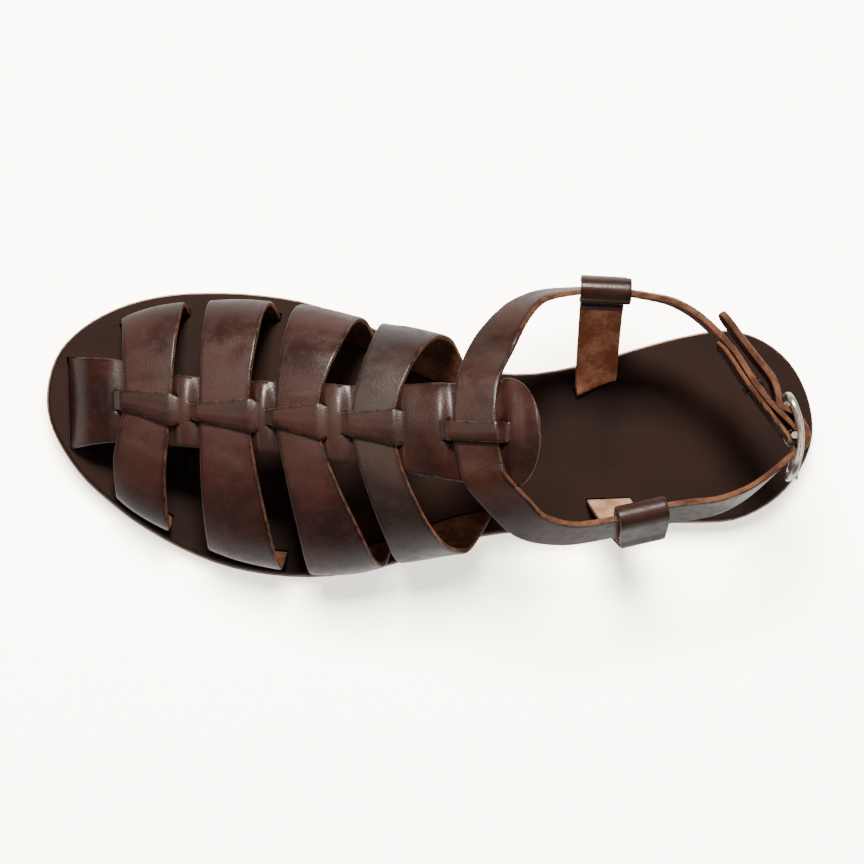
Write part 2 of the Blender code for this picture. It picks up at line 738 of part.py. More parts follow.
def ankle_rows():
    """Every row of the ankle strap, from the folded end to the tip of the tail."""
    rows = flap_rows()
    for place in round_bar(FOLD_RADIUS, (-95, -48, 0, 48, 90, 128)):
        rows.append((place, BUCKLE_UP, 1.0, FOLD_THICKNESS))
    for row in reversed(MEDIAL_ROUTE):
        place, direction = routed(row)
        rows.append((place, direction, 1.0, ANKLE_THICKNESS))
    rows += tongue_rows()
    for row in LATERAL_ROUTE:
        place, direction = routed(row)
        rows.append((place, direction, 1.0, ANKLE_THICKNESS))
    for place in round_bar(TAIL_RADIUS, (48, 90)):
        rows.append((place, BUCKLE_UP, 1.0, ANKLE_THICKNESS))
    for aside, out in ((0.55, 0.2 * TAIL_RADIUS), (0.80, 0.95 * UNDER_END), (1.0, UNDER_END)):
        rows.append((at_buckle(-aside * END_PLACE, out), BUCKLE_UP, 1.0, ANKLE_THICKNESS))
    for row in TAIL_ROUTE:
        place, direction = routed(row)
        rows.append((place, direction, row[6], ANKLE_THICKNESS))
    return rows


def turned(name, start, end, radius, sides=12, end_radius=None):
    """A straight round rod or cone between two points."""
    axis = (end - start).normalized()
    across_one = axis.orthogonal().normalized()
    across_two = axis.cross(across_one)
    far = radius if end_radius is None else end_radius
    points, faces = [], []
    for centre, size in ((start, radius), (end, far)):
        for i in range(sides):
            turn = 2.0 * math.pi * i / sides
            points.append(centre + (across_one * math.cos(turn) + across_two * math.sin(turn)) * size)
    for i in range(sides):
        j = (i + 1) % sides
        faces.append([i, j, sides + j, sides + i])
    faces.append(list(range(sides))[::-1])
    faces.append(list(range(sides, 2 * sides)))
    return make_object(name, points, faces)


def looped(name, centres, section):
    """A closed ring of equal sections; section gives the points round one centre."""
    points, faces = [], []
    for i, centre in enumerate(centres):
        ahead = (centres[(i + 1) % len(centres)] - centres[i - 1]).normalized()
        points += section(centre, ahead)
    sides = len(points) // len(centres)
    for i in range(len(centres)):
        k = (i + 1) % len(centres)
        for j in range(sides):
            m = (j + 1) % sides
            faces.append([i * sides + j, k * sides + j, k * sides + m, i * sides + m])
    if signed_volume(points, faces) < 0.0:
        faces = [loop[::-1] for loop in faces]
    return make_object(name, points, faces)


def frame_section(centre, ahead):
    """Eight points round the frame's wire, wider across the frame than through it."""
    across_frame = ahead.cross(BUCKLE_OUT).normalized()
    turns = [2.0 * math.pi * (i + 0.5) / 8 for i in range(8)]
    return [centre + across_frame * (0.5 * BUCKLE_RAIL * math.cos(turn) / math.cos(math.pi / 8))
            + BUCKLE_OUT * (0.5 * BUCKLE_DEPTH * math.sin(turn) / math.cos(math.pi / 8))
            for turn in turns]


def build_buckle(material):
    """The frame: a crowned round-cornered ring with its centre bar."""
    half_up = 0.5 * (ANKLE_WIDTH + BUCKLE_RAIL) + 2.0 * CLEARANCE
    straight = END_PLACE - BUCKLE_CORNER
    rise = half_up - BUCKLE_CORNER
    spots = []
    for quarter, (sign_s, sign_v) in enumerate(((1, 1), (-1, 1), (-1, -1), (1, -1))):
        for i in range(5):
            turn = 0.5 * math.pi * (quarter + i / 4)
            spots.append((sign_s * straight + BUCKLE_CORNER * math.cos(turn),
                          sign_v * rise + BUCKLE_CORNER * math.sin(turn)))
        if quarter in (0, 2):
            spots += [(sign_s * straight * share, sign_v * half_up) for share in (0.5, 0.0, -0.5)]
    centres = [at_buckle(s, BUCKLE_CROWN - BUCKLE_END_DROP * (s / END_PLACE) ** 2, v)
               for s, v in spots]
    frame = looped("buckle_frame", centres, frame_section)
    bar = turned("bar", at_buckle(0.0, 0.0, -half_up), at_buckle(0.0, 0.0, half_up), BAR_RADIUS)
    combine(frame, bar, "UNION")
    frame.data.materials.clear()
    frame.data.materials.append(material)
    smooth_shade(frame, 50.0)
    return frame


def prong_line():
    """Start and tip of the prong."""
    start = at_buckle(BAR_RADIUS + CLEARANCE + PRONG_RADIUS, PRONG_RADIUS)
    tip_out = END_OUT + 0.5 * BUCKLE_DEPTH + CLEARANCE + PRONG_RADIUS
    return start, at_buckle(END_PLACE + 0.4 * BUCKLE_RAIL, tip_out)


def build_prong(material):
    """The prong: an eye round the bar and a straight tongue that rests on the frame's end."""
    major = BAR_RADIUS + CLEARANCE + PRONG_RADIUS
    turns = [2.0 * math.pi * i / 16 for i in range(16)]
    centres = [at_buckle(major * math.cos(turn), major * math.sin(turn)) for turn in turns]

    def section(centre, ahead):
        out = (centre - BUCKLE_CENTRE).normalized()
        return [centre + (out * math.cos(turn) + BUCKLE_UP * math.sin(turn)) * PRONG_RADIUS
                for turn in (2.0 * math.pi * i / 8 for i in range(8))]

    eye = looped("buckle_prong", centres, section)
    start, tip = prong_line()
    combine(eye, turned("shank", start, tip, PRONG_RADIUS, 10, 0.7 * PRONG_RADIUS), "UNION")
    eye.data.materials.clear()
    eye.data.materials.append(material)
    smooth_shade(eye, 50.0)
    return eye


def rivet_line():
    """Outer and inner face of the two layers that the stud holds, and its direction."""
    goal = routed(MEDIAL_ROUTE[-1])[0].lerp(routed(MEDIAL_ROUTE[-2])[0], RIVET_PLACE)
    frames = [f for f in ribbon_frames(resample(ankle_rows(), STRAP_STEP))
              if f[5] > 0.999 * ANKLE_THICKNESS]
    place, _, _, inward, _, _ = min(frames, key=lambda f: (f[0] - goal).length)
    if inward.x < 0.0:
        inward = -inward
    outer = place - inward * (0.5 * ANKLE_THICKNESS + 2.0 * CLEARANCE)
    inner = place + inward * (FLAP_GAP + 0.5 * FOLD_THICKNESS + 2.0 * CLEARANCE)
    return outer, inner, inward


def build_rivet(material):
    """A stud with a flat head on each side of the folded strap."""
    outer, inner, inward = rivet_line()
    over = 0.5 * RIVET_HEAD_HEIGHT
    stud = turned("strap_rivet", outer - inward * over, inner + inward * over, RIVET_RADIUS)
    head_out = turned("head_out", outer - inward * RIVET_HEAD_HEIGHT, outer, RIVET_HEAD_RADIUS)
    head_in = turned("head_in", inner, inner + inward * RIVET_HEAD_HEIGHT, RIVET_HEAD_RADIUS)
    combine(stud, head_out, "UNION")
    combine(stud, head_in, "UNION")
    stud.data.materials.clear()
    stud.data.materials.append(material)
    smooth_shade(stud, 50.0)
    return stud


def build_ankle_strap(material):
    """The long strap, with its slot for the prong's eye and its holes for prong and stud."""
    strap = ribbon("ankle_strap", ankle_rows(), ANKLE_WIDTH, STRAP_STEP, material)
    slot = BAR_RADIUS + 2.0 * CLEARANCE + 2.0 * PRONG_RADIUS
    half = PRONG_RADIUS + CLEARANCE
    combine(strap, turned("slot", at_buckle(0.0, 0.0, -half), at_buckle(0.0, 0.0, half), slot, 20),
            "DIFFERENCE")
    start, tip = prong_line()
    combine(strap, turned("prong_hole", start, start.lerp(tip, 0.75), half), "DIFFERENCE")
    outer, inner, inward = rivet_line()
    reach = inward * 2.0 * CLEARANCE
    combine(strap, turned("stud_hole", outer - reach, inner + reach, RIVET_RADIUS + CLEARANCE),
            "DIFFERENCE")
    smooth_shade(strap, 35.0)
    return strap


def keeper_frame(name):
    """Place, forward, up and outward direction of the ankle strap where a keeper holds it."""
    side = -1 if name == "keeper_medial" else 1
    goal = plan_x(KEEPER_ALONG[name])
    frames = [f for f in ribbon_frames(resample(ankle_rows(), STRAP_STEP))
              if f[0].y * side > 0.02]
    place, ahead, up, _, _, _ = min(frames, key=lambda f: abs(f[0].x - goal))
    forward = ahead if ahead.x > 0.0 else -ahead
    out = forward.cross(up).normalized()
    if out.y * side < 0.0:
        out.negate()
    return place, forward, up, out


def build_keeper(name, material):
    """A leg from its slit up outside the ankle strap, over it and down inside, fixed to itself."""
    place, forward, up, out = keeper_frame(name)
    (front_along, front_y), (back_along, back_y) = KEEPER_ROOT[name]
    front = Vector((plan_x(front_along), front_y * BALL_WIDTH, 0.0))
    back = Vector((plan_x(back_along), back_y * BALL_WIDTH, 0.0))
    along = 0.5 * (front_along + back_along)
    root = front.lerp(back, 0.5) + Vector((0.0, 0.0, footbed_top(along)))
    slit = (front - back).normalized()
    thick = KEEPER_THICKNESS
    reach = 0.5 * ANKLE_THICKNESS + KEEPER_EASE + 0.5 * thick
    crest = 0.5 * ANKLE_WIDTH + KEEPER_EASE + 0.5 * thick

    def spot(outwards, upwards):
        return place + out * outwards + up * upwards

    low = spot(reach, -crest)
    middle = root.lerp(low, 0.5) + out * KEEPER_BOW
    sunk = root - Vector((0.0, 0.0, FOOTBED_THICKNESS - CLEARANCE))
    clear = root + Vector((0.0, 0.0, thick))
    leg = [(sunk, slit), (root, slit), (clear, slit), (middle, slit.lerp(forward, 0.5)), (low, forward)]
    leg += [(spot(reach, -0.4 * crest), forward), (spot(reach, 0.45 * crest), forward)]
    for degrees in (0, 45, 90, 135, 180):
        turn = math.radians(degrees)
        leg.append((spot(reach * math.cos(turn), crest - reach + reach * math.sin(turn)), forward))
    leg.append((spot(-reach, 0.2 * crest), forward))
    rows = [(point, direction, 1.0, thick) for point, direction in leg]
    item = ribbon(name, rows, KEEPER_WIDTH, KEEPER_STEP, material, 3)
    joint = low.lerp(root, 0.17)
    flap = [spot(-reach, 0.2 * crest + 2.0 * FLAP_SINK), spot(-reach, -0.3 * crest),
            spot(-reach, -crest), joint]
    rows = [(point, forward, 0.98, thick - 2.0 * FUSE_STEP) for point in flap]
    combine(item, ribbon("flap", rows, KEEPER_WIDTH, KEEPER_STEP), "UNION")
    smooth_shade(item, 35.0)
    return item


def strap_slit(edges, side):
    """Cutter for the slit of one end of a cross strap."""
    share = 0.0 if side < 0 else 1.0
    head = hermite(CROSS_PLACES, edges[0], share) + CLEARANCE / SOLE_LENGTH
    tail = hermite(CROSS_PLACES, edges[1], share) - CLEARANCE / SOLE_LENGTH
    reach = 0.5 * STRAP_THICKNESS + 1.5 * CLEARANCE
    inner, outer = [], []
    for depth in (-2.0 * FOOTBED_THICKNESS, FOOTBED_THICKNESS):
        row_in, row_out = [], []
        for c in range(5):
            along = tail + (head - tail) * c / 4
            point = on_last(along, side, 0.0) + Vector((0.0, 0.0, depth))
            normal = root_normal(along, side)
            row_in.append(point - normal * reach)
            row_out.append(point + normal * reach)
        inner.append(row_in)
        outer.append(row_out)
    return slab("slit", inner, outer)


def toe_slit():
    """Cutter for the slit that the centre strip rises from."""
    half = strip_half(TOE_SLIT) + CLEARANCE
    reach = 0.5 * STRAP_THICKNESS + CLEARANCE
    inner, outer = [], []
    for depth in (-2.0 * FOOTBED_THICKNESS, FOOTBED_THICKNESS):
        ends = [from_ridge(TOE_SLIT, -half), from_ridge(TOE_SLIT, half)]
        for end in ends:
            end.z = footbed_top(TOE_SLIT) + depth
        inner.append([end + Vector((-reach - CLEARANCE, 0.0, 0.0)) for end in ends])
        outer.append([end + Vector((reach, 0.0, 0.0)) for end in ends])
    return slab("slit", inner, outer)


def keeper_slit(name):
    """Cutter for the slit of a keeper."""
    (front_along, front_y), (back_along, back_y) = KEEPER_ROOT[name]
    front = Vector((plan_x(front_along), front_y * BALL_WIDTH, 0.0))
    back = Vector((plan_x(back_along), back_y * BALL_WIDTH, 0.0))
    middle = front.lerp(back, 0.5)
    slit = (front - back).normalized()
    across_slit = Vector((-slit.y, slit.x, 0.0))
    half = 0.5 * KEEPER_WIDTH + CLEARANCE
    reach = 0.5 * KEEPER_THICKNESS + 2.0 * CLEARANCE
    top = footbed_top(0.5 * (front_along + back_along))
    inner, outer = [], []
    for depth in (-2.0 * FOOTBED_THICKNESS, FOOTBED_THICKNESS):
        ends = [middle - slit * half, middle + slit * half]
        ends = [Vector((end.x, end.y, top + depth)) for end in ends]
        inner.append([end - across_slit * reach for end in ends])
        outer.append([end + across_slit * reach for end in ends])
    return slab("slit", inner, outer)


def build_footbed(material):
    """The insole, with a slit for each leather end that goes through it."""
    footbed = sole_layer("footbed", footbed_bottom, footbed_top, FOOTBED_INSET, 1.0, material)
    cutters = [strap_slit(edges, side) for edges in CROSS_STRAPS for side in (-1, 1)]
    cutters.append(toe_slit())
    cutters += [keeper_slit(name) for name in KEEPER_ROOT]
    for cutter in cutters:
        combine(footbed, cutter, "DIFFERENCE")
    smooth_shade(footbed, 35.0)
    return footbed


def main():
    """Builds every piece of the sandal."""
    clear_scene()
    dark = finish_of("footbed leather", LEATHER_FOOTBED, 0.45)
    tan = finish_of("outsole leather", LEATHER_TAN, 0.7)
    vamp = finish_of("upper leather", LEATHER_DARK, 0.5)
    strap = finish_of("strap leather", LEATHER_STRAP, 0.55)
    metal = finish_of("nickel", NICKEL, 0.3, 1.0)
    sole_layer("outsole", outsole_bottom, lambda a: outsole_bottom(a) + OUTSOLE_THICKNESS,
               0.0, 1.0, tan)
    sole_layer("heel", lambda a: 0.0, lambda a: HEEL_LIFT, HEEL_INSET, HEEL_BREAST, tan)
    build_footbed(dark)
    build_upper(vamp)
    build_ankle_strap(strap)
    for name in KEEPER_ROOT:
        build_keeper(name, strap)
    build_buckle(metal)
    build_prong(metal)
    build_rivet(metal)


main()
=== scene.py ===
"""Woven fisherman sandal, left shoe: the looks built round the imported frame.

Metres, +Z up, +X to the toe, +Y to the outer side. Every strap starts as a flat blank, cut as a
grid and given its thickness, and is then laid on the form of the last or along its route. Tables
hold shares of the named sizes.
"""

import json
import logging
import math
from dataclasses import dataclass
from enum import Enum
from typing import Any, Callable, Sequence

import bpy
import numpy as np
from mathutils import Matrix, Vector

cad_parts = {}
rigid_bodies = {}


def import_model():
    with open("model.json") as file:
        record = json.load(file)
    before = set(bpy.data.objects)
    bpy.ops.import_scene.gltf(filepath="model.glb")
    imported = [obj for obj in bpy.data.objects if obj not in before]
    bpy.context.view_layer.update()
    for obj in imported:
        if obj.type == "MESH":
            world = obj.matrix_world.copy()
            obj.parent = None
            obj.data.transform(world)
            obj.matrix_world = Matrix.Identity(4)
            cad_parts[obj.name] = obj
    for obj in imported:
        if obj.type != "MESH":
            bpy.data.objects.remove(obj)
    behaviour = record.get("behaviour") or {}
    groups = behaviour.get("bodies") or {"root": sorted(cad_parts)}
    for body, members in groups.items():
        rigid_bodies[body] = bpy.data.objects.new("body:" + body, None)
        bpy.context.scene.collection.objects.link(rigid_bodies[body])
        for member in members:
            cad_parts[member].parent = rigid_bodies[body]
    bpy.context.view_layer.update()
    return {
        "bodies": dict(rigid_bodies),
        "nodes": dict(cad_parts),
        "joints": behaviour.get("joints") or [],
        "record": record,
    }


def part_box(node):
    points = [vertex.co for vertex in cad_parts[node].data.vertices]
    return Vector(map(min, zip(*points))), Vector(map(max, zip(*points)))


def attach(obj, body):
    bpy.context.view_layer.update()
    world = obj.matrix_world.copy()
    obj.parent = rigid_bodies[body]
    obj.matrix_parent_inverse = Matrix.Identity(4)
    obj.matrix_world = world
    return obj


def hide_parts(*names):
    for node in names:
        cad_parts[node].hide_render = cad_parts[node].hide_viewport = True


LOG = logging.getLogger("sandal")
# Inputs of a Map Range node: the value, its own range and the range that it is turned to
RANGE = ("Value", "From Min", "From Max", "To Min", "To Max")

# Sole and last
SOLE_LENGTH = 0.270
BALL_WIDTH = 0.100
OUTSOLE_THICKNESS = 0.0040
FOOTBED_THICKNESS = 0.0035
HEEL_LIFT = 0.0055
TOE_SPRING = 0.0055
HEEL_BREAST = 0.262
FLAT_START = 0.575
FLAT_END = 0.745
SLIT_INSET = 0.0075
INSTEP_HEIGHT = 0.070
SHOULDER_POWER = 2.25
BULGE_SHARE = 0.34
ROOT_LIMIT = 0.926
CLEARANCE = 0.0003

# Straps of the upper
STRIP_WIDTH = 0.025
LEATHER = 0.0019
PRESSED = 0.0016
STEP = 0.0017
TOE_SLIT = 0.967
TONGUE_END = 0.3775
TONGUE_ROUND = 0.044
SLIT_EASE = 0.015

# Ankle strap, keepers and buckle
ANKLE_WIDTH = 0.0150
ANKLE_THICKNESS = 0.0022
FOLD_THICKNESS = 0.0016
KEEPER_WIDTH = 0.0150
KEEPER_THICKNESS = 0.0020
KEEPER_EASE = 0.0014
ANKLE_LIFT = 0.0027
BUCKLE_LENGTH = 0.0300
BUCKLE_RAIL = 0.0030
BUCKLE_DEPTH = 0.0026
BUCKLE_CORNER = 0.0045
BUCKLE_CROWN = 0.0020
BUCKLE_END_DROP = 0.0034
BAR_RADIUS = 0.0012
PRONG_RADIUS = 0.0008
HEEL_LEAN = math.radians(2.0)
RIVET_RADIUS = 0.0012
RIVET_HEAD_RADIUS = 0.0022
RIVET_HEAD_HEIGHT = 0.0006
RIVET_BEVEL = 0.0004
ROD_SIDES = 24
NORMAL_STEP = 0.0004
FINE_STEP = 0.0005
SHARP = 42.0
SHARP_METAL = 40.0

OUTLINE = (
    (0.000, 0.024, 0.024), (0.022, -0.179, 0.192), (0.045, -0.249, 0.265), (0.075, -0.299, 0.319),
    (0.112, -0.322, 0.354), (0.167, -0.304, 0.357), (0.225, -0.268, 0.353), (0.297, -0.216, 0.361),
    (0.380, -0.188, 0.368), (0.463, -0.226, 0.394), (0.537, -0.321, 0.457), (0.593, -0.396, 0.493),
    (0.659, -0.465, 0.507), (0.722, -0.497, 0.492), (0.778, -0.508, 0.455), (0.833, -0.505, 0.390),
    (0.889, -0.476, 0.296), (0.926, -0.435, 0.214), (0.956, -0.384, 0.133), (0.985, -0.298, 0.012),
    (1.000, -0.136, -0.136),
)
# Place, height, ridge, inner swell, outer swell
LAST = (
    (0.370, 1.000, 0.062, 0.145, 0.145), (0.415, 0.950, 0.060, 0.148, 0.142),
    (0.467, 0.886, 0.050, 0.140, 0.120), (0.511, 0.823, 0.036, 0.118, 0.095),
    (0.556, 0.757, 0.022, 0.085, 0.075), (0.611, 0.679, 0.004, 0.055, 0.070),
    (0.667, 0.597, -0.018, 0.038, 0.060), (0.730, 0.503, -0.041, 0.027, 0.042),
    (0.785, 0.426, -0.058, 0.023, 0.037), (0.837, 0.349, -0.078, 0.020, 0.039),
    (0.881, 0.269, -0.110, 0.018, 0.046), (0.915, 0.200, -0.121, 0.015, 0.050),
    (0.941, 0.129, -0.124, 0.012, 0.030), (0.957, 0.066, -0.124, 0.010, 0.020),
    (0.967, 0.000, -0.124, 0.010, 0.010),
)
# Front and back edge of each cross strap at the inner root, shoulder, ridge, shoulder, outer root
CROSS_PLACES = (0.0, 0.25, 0.5, 0.75, 1.0)
CROSS_STRAPS = (
    ((0.900, 0.897, 0.896, 0.912, 0.909), (0.811, 0.827, 0.837, 0.847, 0.843)),
    ((0.778, 0.794, 0.800, 0.800, 0.791), (0.693, 0.721, 0.737, 0.718, 0.693)),
    ((0.644, 0.686, 0.703, 0.679, 0.656), (0.563, 0.607, 0.650, 0.596, 0.552)),
    ((0.541, 0.574, 0.6085, 0.5685, 0.530), (0.441, 0.500, 0.5555, 0.500, 0.422)),
)
# Place and width of the centre strip
STRIP = (
    (0.378, 1.52), (0.415, 1.50), (0.467, 1.40), (0.541, 1.20), (0.607, 1.08), (0.644, 1.06),
    (0.730, 0.98), (0.833, 1.00), (0.900, 1.14), (0.933, 1.20), (0.967, 1.28),
)
# Back and front end of each slit band and its width there, heel to toe
BANDS = (
    (0.415, 0.494, 0.27, 0.25), (0.554, 0.620, 0.48, 0.28), (0.646, 0.713, 0.49, 0.21),
    (0.732, 0.809, 0.46, 0.22), (0.835, 0.900, 0.45, 0.26),
)
# Ankle strap over the tongue: place, distance from the ridge, lift
TONGUE_CROSSING = (
    (0.4480, -0.74, 0.35), (0.4545, -0.37, 0.00), (0.4560, 0.00, 0.00), (0.4510, 0.32, 0.05),
    (0.4420, 0.60, 0.50),
)
# Routes of the ankle strap: place, then the direction from its lower to its upper edge
MEDIAL_ROUTE = (
    (0.4270, -0.262, 0.742, -9.5, 8.0, 9.0), (0.3980, -0.365, 0.672, -5.2, 6.1, 12.7),
    (0.3740, -0.410, 0.630, -1.0, 4.4, 14.2), (0.3450, -0.428, 0.612, 0.0, 2.8, 14.6),
    (0.2850, -0.432, 0.600, 0.0, 1.4, 14.8), (0.2250, -0.404, 0.614, 0.0, 0.8, 14.8),
    (0.1960, -0.380, 0.626, 0.1, 0.6, 14.8), (0.1660, -0.326, 0.640, 0.2, 0.5, 14.8),
    (0.1290, -0.218, 0.662, 0.3, 0.4, 14.8), (0.1065, -0.116, 0.684, 0.4, 0.2, 14.8),
    (0.0850, -0.030, 0.700, 0.5, 0.1, 14.8),
)
LATERAL_ROUTE = (
    (0.4180, 0.306, 0.866, -9.4, -6.2, 8.6), (0.3940, 0.366, 0.778, -5.8, -6.9, 11.4),
    (0.3620, 0.394, 0.692, -2.6, -6.4, 13.2), (0.3260, 0.398, 0.640, -0.6, -5.6, 13.9),
    (0.2480, 0.362, 0.612, 0.2, -5.2, 14.0), (0.2160, 0.340, 0.608, 0.4, -5.2, 14.0),
    (0.1850, 0.330, 0.622, 0.8, -5.0, 14.1), (0.1530, 0.318, 0.640, 1.0, -4.0, 14.2),
    (0.1270, 0.292, 0.658, 1.2, -2.8, 14.5), (0.1050, 0.258, 0.676, 1.0, -1.5, 14.7),
    (0.0830, 0.214, 0.692, 0.7, -0.6, 14.8), (0.0645, 0.172, 0.704, 0.5, -0.2, 14.8),
)
TAIL_ROUTE = (
    (0.0790, -0.101, 0.708, 0.5, 0.1, 14.8, 1.00), (0.0970, -0.171, 0.700, 0.4, 0.2, 14.8, 1.00),
    (0.1150, -0.240, 0.692, 0.4, 0.3, 14.8, 1.00), (0.1300, -0.300, 0.686, 0.3, 0.4, 14.8, 1.00),
    (0.1357, -0.322, 0.684, 0.3, 0.4, 14.8, 0.86), (0.1399, -0.339, 0.683, 0.3, 0.4, 14.8, 0.50),
)
# Creases of each cross strap: share along, offset, slant in degrees, reach, width, height
CREASES = (
    ((0.30, -0.002, 8, 0.008, 0.0030, -0.00035), (0.42, 0.003, -12, 0.007, 0.0022, -0.00030),
     (0.66, 0.001, 10, 0.009, 0.0028, 0.00030)),
    ((0.33, 0.002, -6, 0.009, 0.0030, -0.00040), (0.60, -0.003, 14, 0.008, 0.0024, -0.00030)),
    ((0.31, 0.000, 10, 0.010, 0.0032, -0.00040), (0.44, -0.002, -8, 0.007, 0.0022, 0.00030),
     (0.62, 0.002, -10, 0.009, 0.0026, -0.00035)),
    ((0.33, 0.001, 6, 0.010, 0.0030, -0.00035), (0.64, -0.002, 12, 0.009, 0.0028, -0.00030)),
)
BUCKLE_PLACE = (0.0560, 0.093, 0.714)
KEEPERS = {
    "keeper_medial": (0.2850, (0.3115, -0.110), (0.2615, -0.167)),
    "keeper_lateral": (0.2480, (0.2990, 0.278), (0.2495, 0.278)),
}


class Side(Enum):
    """The two sides of the shoe."""

    MEDIAL = -1
    LATERAL = 1


def linear(code: str, alpha: float = 1.0) -> tuple[float, float, float, float]:
    """Turns an sRGB hex colour to linear.

    Args:
        code: Six hex digits after a hash sign.
        alpha: Opacity.

    Returns:
        Linear red, green, blue and alpha.
    """
    parts = [int(code[i:i + 2], 16) / 255.0 for i in (1, 3, 5)]
    red, green, blue = [p / 12.92 if p <= 0.04045 else ((p + 0.055) / 1.055) ** 2.4 for p in parts]
    return red, green, blue, alpha


def per_metre(millimetres: float) -> float:
    """Texture scale whose features are about this many millimetres across."""
    return 1000.0 / millimetres


def add_node(tree: bpy.types.NodeTree, kind: str, links: dict[Any, Any] | None = None,
             **settings: Any) -> bpy.types.Node:
    """Adds a node with its settings, values and links.

    Args:
        tree: The material's node tree.
        kind: The node's type name.
        links: Socket name or number to a value, or to the socket that feeds it.
        settings: Properties of the node itself.

    Returns:
        The new node.
    """
    node = tree.nodes.new(kind)
    for name, value in settings.items():
        setattr(node, name, value)
    for key, value in (links or {}).items():
        if isinstance(value, bpy.types.NodeSocket):
            tree.links.new(value, node.inputs[key])
        else:
            node.inputs[key].default_value = value
    return node


@dataclass(frozen=True)
class Finish:
    """What every finish shares: its name and how it is put on a Principled shader."""

    name: str

    def start(self) -> tuple[bpy.types.Material, bpy.types.NodeTree, bpy.types.Node, Any]:
        """Makes the empty material.

        Returns:
            The material, its tree, its shader and the Object coordinates socket.
        """
        material = bpy.data.materials.new(self.name)
        material.use_nodes = True
        tree = material.node_tree
        shader = tree.nodes["Principled BSDF"]
        place = add_node(tree, "ShaderNodeTexCoord").outputs["Object"]
        return material, tree, shader, place


def layered(tree: bpy.types.NodeTree, under: Any, over: str, source: Any, low: float, high: float,
            start: float = 0.0, end: float = 1.0) -> Any:
    """Lays a colour over another where a value asks for it, and returns the result's socket.

    Args:
        tree: The material's node tree.
        under: Hex colour or socket of the colour below.
        over: Hex colour that is laid over it.
        source: Socket of the value.
        low: Value at which the cover is start.
        high: Value at which the cover is end.
        start: Cover at low, 0 to 1.
        end: Cover at high, 0 to 1.
    """
    share = add_node(tree, "ShaderNodeMapRange", dict(zip(RANGE, (source, low, high, start, end))),
                     interpolation_type="SMOOTHSTEP").outputs["Result"]
    below = linear(under) if isinstance(under, str) else under
    return add_node(tree, "ShaderNodeMix", {0: share, 6: below, 7: linear(over)},
                    data_type="RGBA").outputs[2]


def wire(tree: bpy.types.NodeTree, shader: bpy.types.Node, base: Any, rough: Any = None,
         normal: Any = None) -> None:
    """Links what varies over the surface to the shader: its colour, gloss and relief."""
    for name, socket in (("Base Color", base), ("Roughness", rough), ("Normal", normal)):
        if socket is not None:
            tree.links.new(socket, shader.inputs[name])


@dataclass(frozen=True)
class GrainLeather(Finish):
    """Vegetable-tanned full grain cowhide, dyed and waxed: fine pores, a soft mottled sheen."""

    dark: str = "#291512"
    light: str = "#3c221d"
    # Lighter grain where the leather is stretched over the foot and the strip: partly real pull-up
    # lightening, partly a painted highlight.
    stretch_and_highlight_colour: str = "#4b302b"
    burnt: str = "#1a0b08"
    worn: str = "#6a402d"
    ruddy: str = "#451d13"
    rough: float = 0.27
    sheen_step: float = 0.13
    cloud_mm: float = 22.0
    fleck_mm: float = 3.5
    patch_mm: float = 19.0
    pore_mm: float = 0.7
    pore_depth: float = 0.00007

    def build(self) -> bpy.types.Material:
        """Makes the material; pores are drawn coarser than real ones so that they show."""
        material, tree, shader, place = self.start()
        cloud, fleck, patch = (
            add_node(tree, "ShaderNodeTexNoise",
                     {"Vector": place, "Scale": per_metre(size), "Detail": detail,
                      "Roughness": rough}).outputs["Fac"]
            for size, detail, rough in ((self.cloud_mm, 4.0, 0.5), (self.fleck_mm, 5.0, 0.6),
                                        (self.patch_mm, 2.0, 0.5)))
        pores = add_node(tree, "ShaderNodeTexVoronoi",
                         {"Vector": place, "Scale": per_metre(self.pore_mm)}).outputs["Distance"]
        rim, pull = (add_node(tree, "ShaderNodeAttribute", attribute_name=name).outputs["Fac"]
                     for name in ("rim", "pull"))
        base = layered(tree, self.dark, self.light, cloud, 0.36, 0.64)
        base = layered(tree, base, self.light, fleck, 0.45, 0.75, 0.0, 0.45)
        base = layered(tree, base, self.ruddy, patch, 0.46, 0.70, 0.0, 0.35)
        # Lightens the grain by the stretch value: real pull-up lightening of stretched leather and
        # a painted highlight on the crests.
        base = add_node(tree, "ShaderNodeMix", {0: pull, 6: base, 7: linear(self.stretch_and_highlight_colour)},
                        data_type="RGBA").outputs[2]
        base = layered(tree, base, self.burnt, rim, 0.2, 1.8, 0.75, 0.0)
        near, rubbed, gloss, flat = (
            add_node(tree, "ShaderNodeMapRange", dict(zip(RANGE, row)),
                     interpolation_type="SMOOTHSTEP").outputs["Result"]
            for row in ((rim, 0.05, 0.45, 1.0, 0.0), (fleck, 0.40, 0.60, 0.0, 1.0),
                        (cloud, 0.35, 0.68, self.rough, self.rough + self.sheen_step),
                        (fleck, 0.40, 0.66, 0.0, 0.12)))
        wear, rough, relief = (
            add_node(tree, "ShaderNodeMath", {0: one, 1: other}, operation=work).outputs[0]
            for one, other, work in ((near, rubbed, "MULTIPLY"), (gloss, flat, "ADD"),
                                     (pores, fleck, "ADD")))
        base = add_node(tree, "ShaderNodeMix", {0: wear, 6: base, 7: linear(self.worn)},
                        data_type="RGBA").outputs[2]
        base = layered(tree, base, self.burnt, pores, 0.0, 0.28, 0.16, 0.0)
        bump = add_node(tree, "ShaderNodeBump", {"Height": relief, "Strength": 0.5,
                                                 "Distance": self.pore_depth}).outputs["Normal"]
        wire(tree, shader, base, rough, bump)
        shader.inputs["Specular IOR Level"].default_value = 0.34
        shader.inputs["Coat Weight"].default_value = 0.08
        shader.inputs["Coat Roughness"].default_value = 0.28
        return material


